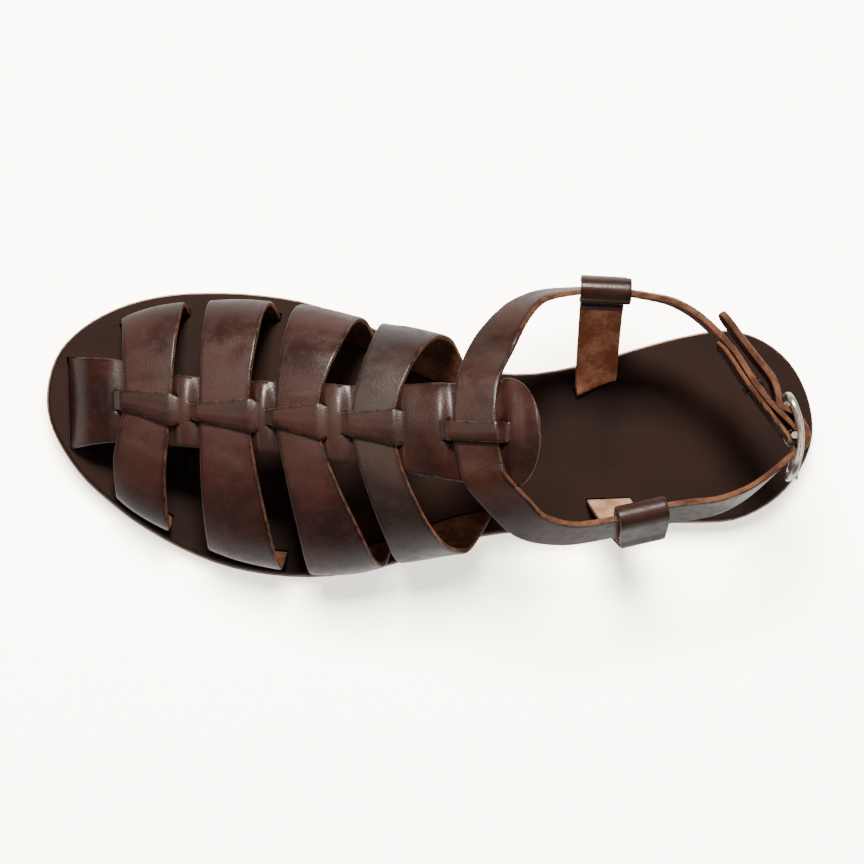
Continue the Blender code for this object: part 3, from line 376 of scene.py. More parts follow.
@dataclass(frozen=True)
class FleshLeather(Finish):
    """The flesh side or the cut edge of vegetable-tanned hide: matte, fibrous, tan to brown."""

    dark: str = "#50301f"
    light: str = "#7f573f"
    fibre_mm: float = 1.1
    stain_mm: float = 9.0
    depth: float = 0.00018

    def build(self) -> bpy.types.Material:
        """Makes the material, with fibres drawn coarser than real ones so that they show."""
        material, tree, shader, place = self.start()
        stain = add_node(tree, "ShaderNodeTexNoise",
                         {"Vector": place, "Scale": per_metre(self.stain_mm), "Detail": 5.0,
                          "Roughness": 0.62}).outputs["Fac"]
        fibre = add_node(tree, "ShaderNodeTexNoise",
                         {"Vector": place, "Scale": per_metre(self.fibre_mm), "Detail": 6.0,
                          "Roughness": 0.7, "Distortion": 0.6}).outputs["Fac"]
        base = layered(tree, self.dark, self.light, stain, 0.38, 0.62)
        base = layered(tree, base, self.dark, fibre, 0.35, 0.65, 0.0, 0.5)
        bump = add_node(tree, "ShaderNodeBump", {"Height": fibre, "Strength": 0.6,
                                                 "Distance": self.depth}).outputs["Normal"]
        wire(tree, shader, base, None, bump)
        shader.inputs["Roughness"].default_value = 0.86
        shader.inputs["Specular IOR Level"].default_value = 0.25
        return material


@dataclass(frozen=True)
class FootbedLeather(Finish):
    """Smooth dyed insole leather, plated and waxed: a dark satin face with a polished edge."""

    dark: str = "#1e0d08"
    light: str = "#29150c"
    cloud_mm: float = 38.0
    pore_mm: float = 0.8
    pore_depth: float = 0.00006

    def build(self) -> bpy.types.Material:
        """Makes the material: faint clouds, fine pores and a satin gloss that wanders."""
        material, tree, shader, place = self.start()
        cloud = add_node(tree, "ShaderNodeTexNoise",
                         {"Vector": place, "Scale": per_metre(self.cloud_mm),
                          "Detail": 3.0}).outputs["Fac"]
        pores = add_node(tree, "ShaderNodeTexVoronoi",
                         {"Vector": place, "Scale": per_metre(self.pore_mm)}).outputs["Distance"]
        row = (cloud, 0.30, 0.70, 0.44, 0.56)
        gloss = add_node(tree, "ShaderNodeMapRange", dict(zip(RANGE, row)),
                         interpolation_type="SMOOTHSTEP").outputs["Result"]
        bump = add_node(tree, "ShaderNodeBump", {"Height": pores, "Strength": 0.22,
                                                 "Distance": self.pore_depth}).outputs["Normal"]
        wire(tree, shader, layered(tree, self.dark, self.light, cloud, 0.35, 0.65), gloss, bump)
        shader.inputs["Specular IOR Level"].default_value = 0.14
        return material


@dataclass(frozen=True)
class SoleLeather(Finish):
    """Bend leather of the outsole and heel: pressed fibre layers that show as lines on the edge."""

    dark: str = "#b9947a"
    light: str = "#e0bfa6"
    layer_mm: float = 1.3
    layer_depth: float = 0.0001
    cloud_mm: float = 14.0
    fibre_mm: float = 0.9
    edge: str = "#efd4bf"
    # Dark colour of the upward faces: painted shade down the footbed's slits.
    slit_shade: str = "#241711"

    def build(self) -> bpy.types.Material:
        """Makes the material; the layers run level, so they follow the height."""
        material, tree, shader, place = self.start()
        height = add_node(tree, "ShaderNodeSeparateXYZ", {"Vector": place}).outputs["Z"]
        cloud, fibre = (
            add_node(tree, "ShaderNodeTexNoise", {"Vector": place, "Scale": per_metre(size),
                                                  "Detail": detail}).outputs["Fac"]
            for size, detail in ((self.cloud_mm, 5.0), (self.fibre_mm, 4.0)))
        layers = add_node(tree, "ShaderNodeMath",
                          {0: height, 1: 2.0 * math.pi * per_metre(self.layer_mm)},
                          operation="MULTIPLY").outputs[0]
        wave = add_node(tree, "ShaderNodeMath", {0: layers}, operation="SINE").outputs[0]
        face = add_node(tree, "ShaderNodeNewGeometry").outputs["True Normal"]
        level = add_node(tree, "ShaderNodeSeparateXYZ", {"Vector": face}).outputs["Z"]
        base = layered(tree, self.dark, self.light, cloud, 0.35, 0.65)
        base = layered(tree, base, self.edge, wave, 0.2, 1.0, 0.0, 0.35)
        base = layered(tree, base, self.dark, fibre, 0.4, 0.7, 0.0, 0.35)
        # Upward faces, seen only down the footbed's slits, are drawn dark: painted shade in the
        # slits.
        base = layered(tree, base, self.slit_shade, level, 0.6, 0.9)
        relief = add_node(tree, "ShaderNodeMath", {0: wave, 1: fibre}, operation="ADD").outputs[0]
        bump = add_node(tree, "ShaderNodeBump", {"Height": relief, "Strength": 0.3,
                                                 "Distance": self.layer_depth}).outputs["Normal"]
        wire(tree, shader, base, None, bump)
        shader.inputs["Roughness"].default_value = 0.62
        return material


@dataclass(frozen=True)
class PlatedMetal(Finish):
    """Die-cast zinc, polished and plated with nickel: bright, a little warm, faintly scuffed."""

    colour: str = "#e6dfd2"
    shade: str = "#c9bfb0"
    rough: float = 0.24
    rub_mm: float = 2.5

    def build(self) -> bpy.types.Material:
        """Makes the material with a gloss that varies where it has been handled."""
        material, tree, shader, place = self.start()
        rub = add_node(tree, "ShaderNodeTexNoise",
                       {"Vector": place, "Scale": per_metre(self.rub_mm),
                        "Detail": 4.0}).outputs["Fac"]
        row = (rub, 0.35, 0.70, self.rough, self.rough + 0.14)
        gloss = add_node(tree, "ShaderNodeMapRange", dict(zip(RANGE, row)),
                         interpolation_type="SMOOTHSTEP").outputs["Result"]
        wire(tree, shader, layered(tree, self.colour, self.shade, rub, 0.4, 0.7), gloss)
        shader.inputs["Metallic"].default_value = 1.0
        return material


@dataclass(frozen=True)
class Backdrop(Finish):
    """Opal light board, matte and near white, for the floor; its own glow keeps it pale."""

    colour: str = "#fdf8ee"
    glow: float = 1.6

    def build(self) -> bpy.types.Material:
        """Makes the plain material."""
        material, _, shader, _ = self.start()
        shader.inputs["Base Color"].default_value = linear(self.colour)
        shader.inputs["Roughness"].default_value = 0.9
        shader.inputs["Specular IOR Level"].default_value = 0.2
        shader.inputs["Emission Color"].default_value = linear(self.colour)
        shader.inputs["Emission Strength"].default_value = self.glow
        return material


def hermite(places: Sequence[float], values: Sequence[float], place: float) -> float:
    """Reads a smooth curve through a short table, flat-ended beyond it.

    Args:
        places: Rising places of the table.
        values: Value at each place.
        place: Where it is read.

    Returns:
        The value there.
    """
    if place <= places[0]:
        return values[0]
    if place >= places[-1]:
        return values[-1]
    index = max(i for i in range(len(places) - 1) if places[i] <= place)

    def slope(i: int) -> float:
        """Slope of the curve at one row of the table."""
        low, high = max(i - 1, 0), min(i + 1, len(places) - 1)
        return (values[high] - values[low]) / (places[high] - places[low])

    span = places[index + 1] - places[index]
    t = (place - places[index]) / span
    rise = values[index + 1] - values[index]
    start, end = slope(index) * span, slope(index + 1) * span
    return (values[index] + start * t + (3.0 * rise - 2.0 * start - end) * t ** 2
            + (start + end - 2.0 * rise) * t ** 3)


def ease(low: float, high: float, value: float) -> float:
    """Zero below low, one above high, smooth between."""
    t = min(max((value - low) / (high - low), 0.0), 1.0)
    return t * t * (3.0 - 2.0 * t)


def packed(share: float) -> float:
    """Moves an even share so that rows lie closer near both ends."""
    return 0.5 - 0.5 * math.cos(math.pi * share)


def rounding(distance: float, radius: float) -> float:
    """How far a face drops at a distance from a rounded edge."""
    if distance >= radius:
        return 0.0
    return radius - math.sqrt(max(radius ** 2 - (radius - distance) ** 2, 0.0))


class Last:
    """The form of the foot that the straps lie on, from short tables of shares."""

    LOW_POINTS = 41
    HIGH_POINTS = 121
    BULGE_POWER = 1.4

    def __init__(self, step: float = 0.001) -> None:
        """Prepares the tables.

        Args:
            step: Share of the length between the sections that are kept.
        """
        self.step = step
        self.kept: dict[tuple[int, int], np.ndarray] = {}
        self.turns = [self.turn_of(row[0]) for row in OUTLINE]
        self.along = [row[0] for row in LAST]

    @staticmethod
    def turn_of(along: float) -> float:
        """Share of the length as an even turn, so that round ends stay round."""
        return math.acos(1.0 - 2.0 * min(max(along, 0.0), 1.0)) / math.pi

    @staticmethod
    def plan_x(along: float) -> float:
        """X of a share of the sole's length."""
        return (along - 0.5) * SOLE_LENGTH

    def sole_edge(self, along: float, side: int) -> float:
        """Y of the sole's edge on one side."""
        column = [row[1 if side < 0 else 2] for row in OUTLINE]
        return hermite(self.turns, column, self.turn_of(along)) * BALL_WIDTH

    @staticmethod
    def footbed_top(along: float) -> float:
        """Height of the face that the foot stands on."""
        arch = (HEEL_LIFT + CLEARANCE) * (1.0 - ease(HEEL_BREAST, FLAT_START, along))
        spring = TOE_SPRING * (max(along - FLAT_END, 0.0) / (1.0 - FLAT_END)) ** 1.8
        return arch + spring + OUTSOLE_THICKNESS + CLEARANCE + FOOTBED_THICKNESS

    def root_y(self, along: float, side: int) -> float:
        """Where the straps leave the footbed."""
        place = min(along, ROOT_LIMIT)
        step = 0.002
        rise = self.sole_edge(place + step, side) - self.sole_edge(place - step, side)
        slope = rise / (2.0 * step * SOLE_LENGTH)
        return self.sole_edge(place, side) - side * SLIT_INSET * math.hypot(1.0, slope)

    def value(self, column: int, along: float) -> float:
        """One column of the last's table."""
        return hermite(self.along, [row[column] for row in LAST], along)

    def cut(self, along: float, side: int) -> np.ndarray:
        """One half of a section, root to ridge.

        Args:
            along: Share of the sole's length.
            side: -1 inner, 1 outer.

        Returns:
            Rows of y, z and running length.
        """
        height = self.value(1, along) * INSTEP_HEIGHT
        ridge = self.value(2, along) * BALL_WIDTH
        belly_out = self.value(3 if side < 0 else 4, along) * BALL_WIDTH
        root = self.root_y(along, side)
        belly = root + side * belly_out
        lower = np.linspace(0.0, 1.0, self.LOW_POINTS)
        upper = np.linspace(0.0, 0.5 * math.pi, self.HIGH_POINTS)[1:]
        power = 2.0 / SHOULDER_POWER
        low_y = root + (belly - root) * np.sin(0.5 * math.pi * lower) ** self.BULGE_POWER
        high_y = ridge + (belly - ridge) * np.clip(np.cos(upper), 0.0, 1.0) ** power
        low_z = BULGE_SHARE * height * lower
        high_z = height * (BULGE_SHARE + (1.0 - BULGE_SHARE) * np.sin(upper) ** power)
        y = np.concatenate([low_y, high_y])
        z = np.concatenate([low_z, high_z]) + self.footbed_top(along)
        runs = np.concatenate([[0.0], np.cumsum(np.hypot(np.diff(y), np.diff(z)))])
        return np.array([y, z, runs])

    def section(self, along: float, side: int) -> np.ndarray:
        """The half section between the two kept ones on each side of a place."""
        index = math.floor(along / self.step)
        for key in ((index, side), (index + 1, side)):
            if key not in self.kept:
                self.kept[key] = self.cut(key[0] * self.step, side)
        share = along / self.step - index
        return self.kept[index, side] * (1.0 - share) + self.kept[index + 1, side] * share

    def on(self, along: float, side: int, from_root: float) -> Vector:
        """Point at a running length from the root; below the root it goes straight down."""
        y, z, runs = self.section(along, side)
        if from_root < 0.0:
            return Vector((self.plan_x(along), y[0], z[0] + from_root))
        if from_root > runs[-1]:
            return Vector((self.plan_x(along), y[-1] - side * (from_root - runs[-1]), z[-1]))
        return Vector((self.plan_x(along), float(np.interp(from_root, runs, y)),
                       float(np.interp(from_root, runs, z))))

    def half_length(self, along: float, side: int) -> float:
        """Running length of half a section, root to ridge."""
        return float(self.section(along, side)[2][-1])

    def across(self, along: float, share: float) -> Vector:
        """Point at a share across: 0 inner root, 0.5 ridge, 1 outer root."""
        side = -1 if share < 0.5 else 1
        part = 2.0 * share if side < 0 else 2.0 * (1.0 - share)
        return self.on(along, side, part * self.half_length(along, side))

    def from_ridge(self, along: float, distance: float) -> Vector:
        """Point at a distance from the ridge, negative to the inner side."""
        side = -1 if distance < 0.0 else 1
        return self.on(along, side, self.half_length(along, side) - abs(distance))

    @staticmethod
    def outward(function: Callable[[float, float], Vector], along: float, value: float,
                step: float) -> Vector:
        """Outward normal from two small steps of a surface function."""
        nudge = 0.0008
        ahead = function(along + nudge, value) - function(along - nudge, value)
        aside = function(along, value + step) - function(along, value - step)
        return ahead.cross(aside).normalized()


FORM = Last()


@dataclass(frozen=True)
class Crease:
    """A soft trough or ridge, placed one by one; its slant is in degrees."""

    run: float
    offset: float
    slant: float
    reach: float
    width: float
    height: float

    def at(self, run: float, offset: float, length: float) -> float:
        """Height of the crease at a place.

        Args:
            run: Share along the strap.
            offset: Distance from its middle line.
            length: Length of the strap.

        Returns:
            Height, negative for a trough.
        """
        x, y, turn = (run - self.run) * length, offset - self.offset, math.radians(self.slant)
        along = x * math.cos(turn) + y * math.sin(turn)
        aside = -x * math.sin(turn) + y * math.cos(turn)
        return self.height * math.exp(-(along / self.width) ** 2 - (aside / self.reach) ** 2)


@dataclass(frozen=True)
class Hide:
    """The three faces of one cut strap."""

    grain: bpy.types.Material
    flesh: bpy.types.Material
    edge: bpy.types.Material


@dataclass
class Spot:
    """Where one point of a blank's middle face goes."""

    place: Vector
    normal: Vector
    thickness: float
    rim: float
    # How far the grain is lightened there: stretch of the leather and a painted highlight.
    pull: float = 0.0


def added(operator: Callable[..., Any], **settings: Any) -> bpy.types.Object:
    """Adds a primitive with nothing else selected and returns its object."""
    bpy.ops.object.select_all(action="DESELECT")
    operator(**settings)
    return bpy.context.object


def applied(item: bpy.types.Object, kind: str, **settings: Any) -> None:
    """Puts a modifier with its settings on an object and applies it."""
    modifier = item.modifiers.new(kind.title(), kind)
    for name, value in settings.items():
        setattr(modifier, name, value)
    bpy.context.view_layer.objects.active = item
    bpy.ops.object.modifier_apply(modifier=modifier.name)


class Blank:
    """A flat blank of leather, cut as a grid, given its thickness and laid where a route says."""

    GRAIN_ROUND = 0.00050
    FLESH_ROUND = 0.00025

    def __init__(self, name: str, columns: int, rows: int) -> None:
        """Cuts the grid.

        Args:
            name: The piece's name.
            columns: Cells across.
            rows: Cells along.
        """
        self.item = added(bpy.ops.mesh.primitive_grid_add, x_subdivisions=columns,
                          y_subdivisions=rows, size=2.0)
        self.item.name = name
        self.item.data.name = name
        self.columns = columns
        self.item.data.attributes.new("lane", "FLOAT", "POINT")

    def split(self, lines: Sequence[int], cuts: Sequence[tuple[float, float]]) -> None:
        """Slits the blank along columns, between places along it.

        Args:
            lines: Numbers of the columns that are slit.
            cuts: Start and end share of each slit.
        """
        mesh = self.item.data
        places = [2.0 * line / self.columns - 1.0 for line in lines]
        bpy.ops.object.mode_set(mode="EDIT")
        bpy.ops.mesh.select_mode(type="EDGE")
        bpy.ops.mesh.select_all(action="DESELECT")
        bpy.ops.object.mode_set(mode="OBJECT")
        for edge in mesh.edges:
            ends = [mesh.vertices[i].co for i in edge.vertices]
            shares = [0.5 + 0.5 * end.y for end in ends]
            on_line = any(all(abs(end.x - x) < 1e-5 for end in ends) for x in places)
            edge.select = on_line and any(all(low < s < high for s in shares) for low, high in cuts)
        bpy.ops.object.mode_set(mode="EDIT")
        bpy.ops.mesh.edge_split(type="EDGE")
        bpy.ops.object.mode_set(mode="OBJECT")

    def mark_lane(self, low: float, high: float) -> None:
        """Marks each point as in the middle lane (1), outside it (-1) or shared (0)."""
        mesh = self.item.data
        sums = np.zeros((len(mesh.vertices), 2))
        for face in mesh.polygons:
            inside = 1.0 if low < 0.5 + 0.5 * face.center.x < high else -1.0
            for i in face.vertices:
                sums[i] += (inside, 1.0)
        lane = np.round(sums[:, 0] / np.maximum(sums[:, 1], 1.0), 3)
        lane[np.abs(lane) < 0.99] = 0.0
        mesh.attributes["lane"].data.foreach_set("value", lane.astype(np.float32))

    def thicken(self, hide: Hide) -> None:
        """Gives the blank its two faces and its cut edge, each with its own finish."""
        bpy.ops.object.mode_set(mode="EDIT")
        bpy.ops.mesh.select_mode(type="FACE")
        bpy.ops.mesh.select_all(action="SELECT")
        bpy.ops.mesh.extrude_region_move(TRANSFORM_OT_translate={"value": (0.0, 0.0, 1.0)})
        bpy.ops.mesh.select_all(action="SELECT")
        bpy.ops.mesh.normals_make_consistent(inside=False)
        bpy.ops.object.mode_set(mode="OBJECT")
        mesh = self.item.data
        for material in (hide.grain, hide.flesh, hide.edge):
            mesh.materials.append(material)
        for face in mesh.polygons:
            face.material_index = 0 if face.normal.z > 0.5 else 1 if face.normal.z < -0.5 else 2

    def lay(self, where: Callable[[float, float, float], Spot]) -> bpy.types.Object:
        """Lays the blank and rounds its edges.

        Args:
            where: Gives the spot for a share across, a share along and a lane.

        Returns:
            The finished piece.
        """
        mesh = self.item.data
        count = len(mesh.vertices)
        lane = np.zeros(count, np.float32)
        mesh.attributes["lane"].data.foreach_get("value", lane)
        points = np.zeros(count * 3)
        mesh.vertices.foreach_get("co", points)
        points = points.reshape(-1, 3)
        spots: dict[tuple[float, float, float], Spot] = {}
        rims, stretch_and_highlight_values = np.zeros(count, np.float32), np.zeros(count, np.float32)
        for i in range(count):
            key = (round(float(points[i, 0]), 5), round(float(points[i, 1]), 5), float(lane[i]))
            if key not in spots:
                spots[key] = where(0.5 + 0.5 * key[0], 0.5 + 0.5 * key[1], key[2])
            spot = spots[key]
            if points[i, 2] > 0.5:
                lift = 0.5 * spot.thickness - rounding(spot.rim, self.GRAIN_ROUND)
            else:
                lift = -0.5 * spot.thickness + rounding(spot.rim, self.FLESH_ROUND)
            points[i] = spot.place + spot.normal * lift
            rims[i], stretch_and_highlight_values[i] = min(spot.rim * 1000.0, 6.0), spot.pull
        mesh.vertices.foreach_set("co", points.ravel())
        for name, values in (("rim", rims), ("pull", stretch_and_highlight_values)):
            mesh.attributes.new(name, "FLOAT", "POINT").data.foreach_set("value", values)
        mesh.attributes.remove(mesh.attributes["lane"])
        mesh.update()
        if self.turned_in():
            mesh.flip_normals()
        smooth(self.item, SHARP)
        return self.item

    def turned_in(self) -> bool:
        """True if the faces point inwards."""
        mesh = self.item.data
        mesh.calc_loop_triangles()
        volume = 0.0
        for triangle in mesh.loop_triangles:
            a, b, c = (mesh.vertices[i].co for i in triangle.vertices)
            volume += a.dot(b.cross(c))
        return volume < 0.0


def smooth(item: bpy.types.Object, degrees: float) -> None:
    """Shades an object smooth, with its sharper edges kept."""
    bpy.ops.object.select_all(action="DESELECT")
    item.select_set(True)
    bpy.context.view_layer.objects.active = item
    bpy.ops.object.shade_smooth_by_angle(angle=math.radians(degrees))


def put_down(item: bpy.types.Object, slot: str, *nodes: str) -> None:
    """Lets a piece ride on the shoe and stand for its CAD nodes, which it hides."""
    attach(item, "root")
    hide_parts(*nodes)
    LOG.info("%s: %d faces", item.name, len(item.data.polygons))


def open_places() -> list[tuple[float, float, float]]:
    """Front and back edge of each strap that passes through the strip, and how high it lifts it."""
    crossings = [(edges[0][2], edges[1][2], 2.0 * STEP) for edges in CROSS_STRAPS]
    half = 0.5 * ANKLE_WIDTH / SOLE_LENGTH
    middle = TONGUE_CROSSING[2][0]
    crossings.append((middle + half, middle - half, ANKLE_LIFT + 0.5 * (ANKLE_THICKNESS + LEATHER)))
    return crossings


@dataclass
class CentreStrip:
    """The strip over the instep, slit in pairs, with its round tongue."""

    hide: Hide
    wing_cells: int = 8
    band_cells: int = 10
    rows: int = 330
    tongue_rows: float = 0.16
    sunk: float = 0.0030
    crown: float = 0.0005
    bridge: float = 0.0014
    curl: float = 0.0010
    rim_reach: float = 0.0055
    slit_gap: float = 0.0020
    toe_ease: float = 0.030

    def half_width(self, along: float) -> float:
        """Half width of the strip, with the round end of the tongue."""
        width = hermite([row[0] for row in STRIP], [row[1] for row in STRIP], along) * STRIP_WIDTH
        left = max(TONGUE_END + TONGUE_ROUND - along, 0.0) / TONGUE_ROUND
        return 0.5 * width * math.sqrt(1.0 - min(left, 0.996) ** 2.4)

    def band_half(self, along: float) -> float:
        """Half width of the bands between the slits."""
        places = [place for row in BANDS for place in row[:2]]
        widths = [width for row in BANDS for width in row[2:]]
        return 0.5 * STRIP_WIDTH * float(np.interp(along, places, widths))

    def along(self, run: float) -> float:
        """Place along the sole of a share of the strip, closer at the tongue's round end."""
        if run < self.tongue_rows:
            turn = 0.5 * math.pi * run / self.tongue_rows
            return TONGUE_END + 0.0001 + TONGUE_ROUND * (1.0 - math.cos(turn))
        start = TONGUE_END + TONGUE_ROUND
        end = TOE_SLIT + self.sunk / SOLE_LENGTH
        return start + (end - start) * (run - self.tongue_rows) / (1.0 - self.tongue_rows)

    def run(self, along: float) -> float:
        """Share of the strip at a place in front of the tongue's round end."""
        start, end = TONGUE_END + TONGUE_ROUND, TOE_SLIT + self.sunk / SOLE_LENGTH
        return self.tongue_rows + (1.0 - self.tongue_rows) * (along - start) / (end - start)

    def opened(self, along: float) -> tuple[float, float]:
        """How far the slits stand open, from 0 to 1, and how high the bands then lie."""
        best = (0.0, 0.0)
        for front, back, height in open_places():
            share = (ease(back - SLIT_EASE, back, along)
                     * (1.0 - ease(front, front + SLIT_EASE, along)))
            if share > best[0]:
                best = (share, height)
        return best

    def pillow(self, along: float) -> float:
        """Level of the strip: pressed down under each strap, rounded up between them."""
        places = open_places()
        for front, back, _ in places:
            if back <= along <= front:
                return 0.0
        ahead = min([back - along for _, back, _ in places if back > along], default=1.0)
        behind = min([along - front for front, _, _ in places if front < along], default=1.0)
        near = min(ahead, behind) * SOLE_LENGTH
        return 0.5 * STEP * math.sin(0.5 * math.pi * min(near / self.rim_reach, 1.0)) ** 2

    @staticmethod
    def nearness(along: float) -> float:
        """One between two crossings that lie close, zero far from any."""
        fronts = [along - front for front, _, _ in open_places() if front < along]
        backs = [back - along for _, back, _ in open_places() if back > along]
        apart = min(fronts, default=1.0) + min(backs, default=1.0)
        return 1.0 - ease(0.055, 0.110, apart)

    def spot(self, across: float, run: float, lane: float) -> Spot:
        """Where a point of the strip goes; lane is 1 in a band, -1 beside it."""
        along = self.along(run)
        wing = self.wing_cells / (2 * self.wing_cells + self.band_cells)
        half, band = self.half_width(along), self.band_half(along)
        band = min(band, 0.55 * half)
        side = -1.0 if across < 0.5 else 1.0
        out = abs(2.0 * across - 1.0)
        inner = 1.0 - 2.0 * wing
        if out <= inner + 1e-6:
            share = math.sin(0.5 * math.pi * min(out / inner, 1.0))
            distance = band * share
        else:
            distance = band + (half - band) * packed((out - inner) / (1.0 - inner))
        open_share, lift = self.opened(along)
        in_band = lane > 0.5 or (abs(lane) < 0.5 and out <= inner - 1e-4)
        base = self.pillow(along)
        closed = 1.0 - open_share
        dome = 1.0 - (distance / half) ** 2
        to_slit = abs(distance - band) + (1.0 - min(4.0 * open_share, 1.0)) * self.slit_gap
        outline = max(min(half - distance, (along - TONGUE_END) * SOLE_LENGTH), 0.0)
        rim = min(outline, max(to_slit, 0.0))
        level = base + (self.crown + self.bridge * self.nearness(along)) * dome * closed
        if in_band:
            level += (lift - base + 0.6 * self.crown * (1.0 - (distance / band) ** 2)) * open_share
        over = along - TOE_SLIT
        place = min(along, TOE_SLIT - 1e-4)
        point = FORM.from_ridge(place, side * distance)
        normal = FORM.outward(FORM.from_ridge, place, side * distance, NORMAL_STEP)
        if along < TONGUE_END + TONGUE_ROUND:
            level += self.curl * (1.0 - ease(0.0, self.rim_reach, outline)) * closed
        level *= 1.0 - ease(TOE_SLIT - self.toe_ease, TOE_SLIT, along)
        if over > 0.0:
            point.z = FORM.footbed_top(TOE_SLIT) - over * SOLE_LENGTH
            normal = Vector((1.0, 0.0, 0.0))
        # Lighter grain between the crossings and on the middle of each band: stretch of the leather
        # and a painted highlight on the crests.
        pull = 0.75 * closed * ease(0.50, 0.62, along) * (1.0 - ease(0.86, 0.90, along))
        if in_band:
            pull = max(pull, 0.5 * open_share * ease(0.7, 1.0, 1.0 - distance / band))
        thickness = LEATHER + (PRESSED - LEATHER) * open_share
        return Spot(point + normal * level, normal, thickness, rim, 0.5 * pull)

    def build(self) -> bpy.types.Object:
        """Cuts, slits and lays the strip."""
        cells = 2 * self.wing_cells + self.band_cells
        blank = Blank("centre_strip", cells, self.rows)
        lines = (self.wing_cells, self.wing_cells + self.band_cells)
        cuts = [(self.run(back - SLIT_EASE), self.run(front + SLIT_EASE))
                for front, back, _ in open_places()]
        blank.split(lines, cuts)
        blank.mark_lane(lines[0] / cells, lines[1] / cells)
        blank.thicken(self.hide)
        item = blank.lay(self.spot)
        put_down(item, "upper", "upper")
        return item


@dataclass
class CrossStrap:
    """One strap from the inner slit over the foot, through the strip, to the outer slit."""

    number: int
    hide: Hide
    creases: tuple[Crease, ...] = ()
    columns: int = 22
    rows: int = 150
    sunk: float = 0.0030
    crown: float = 0.00035

    def spot(self, across: float, run: float, lane: float) -> Spot:
        """Where a point of the strap goes."""
        front, back = CROSS_STRAPS[self.number - 1]
        middle = 0.5 * (front[2] + back[2])
        length = FORM.half_length(middle, -1) + FORM.half_length(middle, 1)
        over = self.sunk / length
        share = run * (1.0 + 2.0 * over) - over
        inside = min(max(share, 0.0), 1.0)
        head = hermite(CROSS_PLACES, front, inside)
        tail = hermite(CROSS_PLACES, back, inside)
        part = packed(across)
        along = tail + (head - tail) * part
        width = (head - tail) * SOLE_LENGTH
        if 0.0 <= share <= 1.0:
            point = FORM.across(along, share)
        else:
            side = -1 if share < 0.5 else 1
            point = FORM.on(along, side, -abs(share - inside) * length)
        normal = FORM.outward(FORM.across, along, share, 0.004)
        reach = 2.0 * min(inside, 1.0 - inside)
        level = STEP * ease(0.25, 0.70, reach)
        offset = (part - 0.5) * width
        free = ease(0.0, 0.12, reach)
        level += self.crown * (1.0 - (2.0 * part - 1.0) ** 2) * free
        level += free * sum(crease.at(share, offset, length) for crease in self.creases)
        # Lighter grain near the ridge, where the strap is stretched over the strip: stretch of the
        # leather and a painted highlight.
        pull = 0.5 * ease(0.62, 0.92, reach) * (1.0 - ease(0.94, 1.0, reach))
        thickness = LEATHER + (PRESSED - LEATHER) * ease(0.55, 0.75, reach)
        return Spot(point + normal * level, normal, thickness, min(part, 1.0 - part) * width, pull)

    def build(self) -> bpy.types.Object:
        """Cuts and lays the strap."""
        blank = Blank("cross_strap_%d" % self.number, self.columns, self.rows)
        blank.thicken(self.hide)
        item = blank.lay(self.spot)
        put_down(item, "upper", "upper")
        return item


Row = tuple[Vector, Vector, float, float]


class Ribbon:
    """A strap along smooth rows of place, crosswise direction, width share and thickness."""

    def __init__(self, rows: Sequence[Row], step: float) -> None:
        """Spaces the rows evenly.

        Args:
            rows: The rows that the strap passes.
            step: Distance between the frames that are kept.
        """
        table = np.array([[*row[0], *row[1], row[2], row[3]] for row in rows])
        runs = np.concatenate([[0.0],
                               np.cumsum(np.linalg.norm(np.diff(table[:, :3], axis=0), axis=1))])
        self.length = float(runs[-1])
        count = max(2, round(self.length / step))
        self.runs = np.linspace(0.0, self.length, count + 1)
        columns = [[hermite(list(runs), list(table[:, c]), run) for run in self.runs]
                   for c in range(8)]
        self.table = np.array(columns).T
        places = self.table[:, :3]
        ahead = np.gradient(places, axis=0)
        ahead /= np.linalg.norm(ahead, axis=1)[:, None]
        side = self.table[:, 3:6]
        side = side - ahead * np.sum(side * ahead, axis=1)[:, None]
        side /= np.linalg.norm(side, axis=1)[:, None]
        self.frames = np.hstack([places, ahead, side, np.cross(ahead, side), self.table[:, 6:8]])

    def at(self, run: float) -> np.ndarray:
        """Place, ahead, side, normal, width share and thickness at a running length."""
        position = min(max(run / self.length, 0.0), 1.0) * (len(self.runs) - 1)
        low = min(int(position), len(self.runs) - 2)
        share = position - low
        return self.frames[low] * (1.0 - share) + self.frames[low + 1] * share

    def spot(self, across: float, run: float, width: float, flip: float = 1.0) -> Spot:
        """Where a point of the strap goes; flip is -1 where the grain is on the other face."""
        frame = self.at(run * self.length)
        part = packed(across)
        side, normal = Vector(frame[6:9]).normalized(), Vector(frame[9:12]).normalized()
        wide = width * float(frame[12])
        place = Vector(frame[:3]) + side * (part - 0.5) * wide
        ends = min(run, 1.0 - run) * self.length
        rim = min(min(part, 1.0 - part) * wide, ends)
        return Spot(place, normal * flip, float(frame[13]), rim)


@dataclass
class BuckleFrame:
    """Directions at the middle of the buckle's bar."""

    half_up: float = 0.5 * (ANKLE_WIDTH + BUCKLE_RAIL) + 2.0 * CLEARANCE
    end_place: float = 0.5 * (BUCKLE_LENGTH - BUCKLE_RAIL)

    def __post_init__(self) -> None:
        """Works out the centre and the three directions."""
        along, aside, height = BUCKLE_PLACE
        self.centre = Vector((FORM.plan_x(along), aside * BALL_WIDTH,
                              height * INSTEP_HEIGHT + FORM.footbed_top(along)))
        self.up = Vector((math.sin(HEEL_LEAN), 0.0, math.cos(HEEL_LEAN)))
        self.out = Vector((-math.cos(HEEL_LEAN), 0.0, math.sin(HEEL_LEAN)))

    def at(self, aside: float, out: float, up: float = 0.0) -> Vector:
        """Point in the buckle's own directions."""
        return self.centre + Vector((0.0, aside, 0.0)) + out * self.out + up * self.up

    def round_bar(self, radius: float, degrees: Sequence[float]) -> list[Vector]:
        """Points round the bar; 90 degrees is straight outwards."""
        turns = [math.radians(value) for value in degrees]
        return [self.at(radius * math.cos(turn), radius * math.sin(turn)) for turn in turns]

    def crown(self, aside: float) -> float:
        """How far out the frame lies at a distance from the bar."""
        return BUCKLE_CROWN - BUCKLE_END_DROP * (aside / self.end_place) ** 2


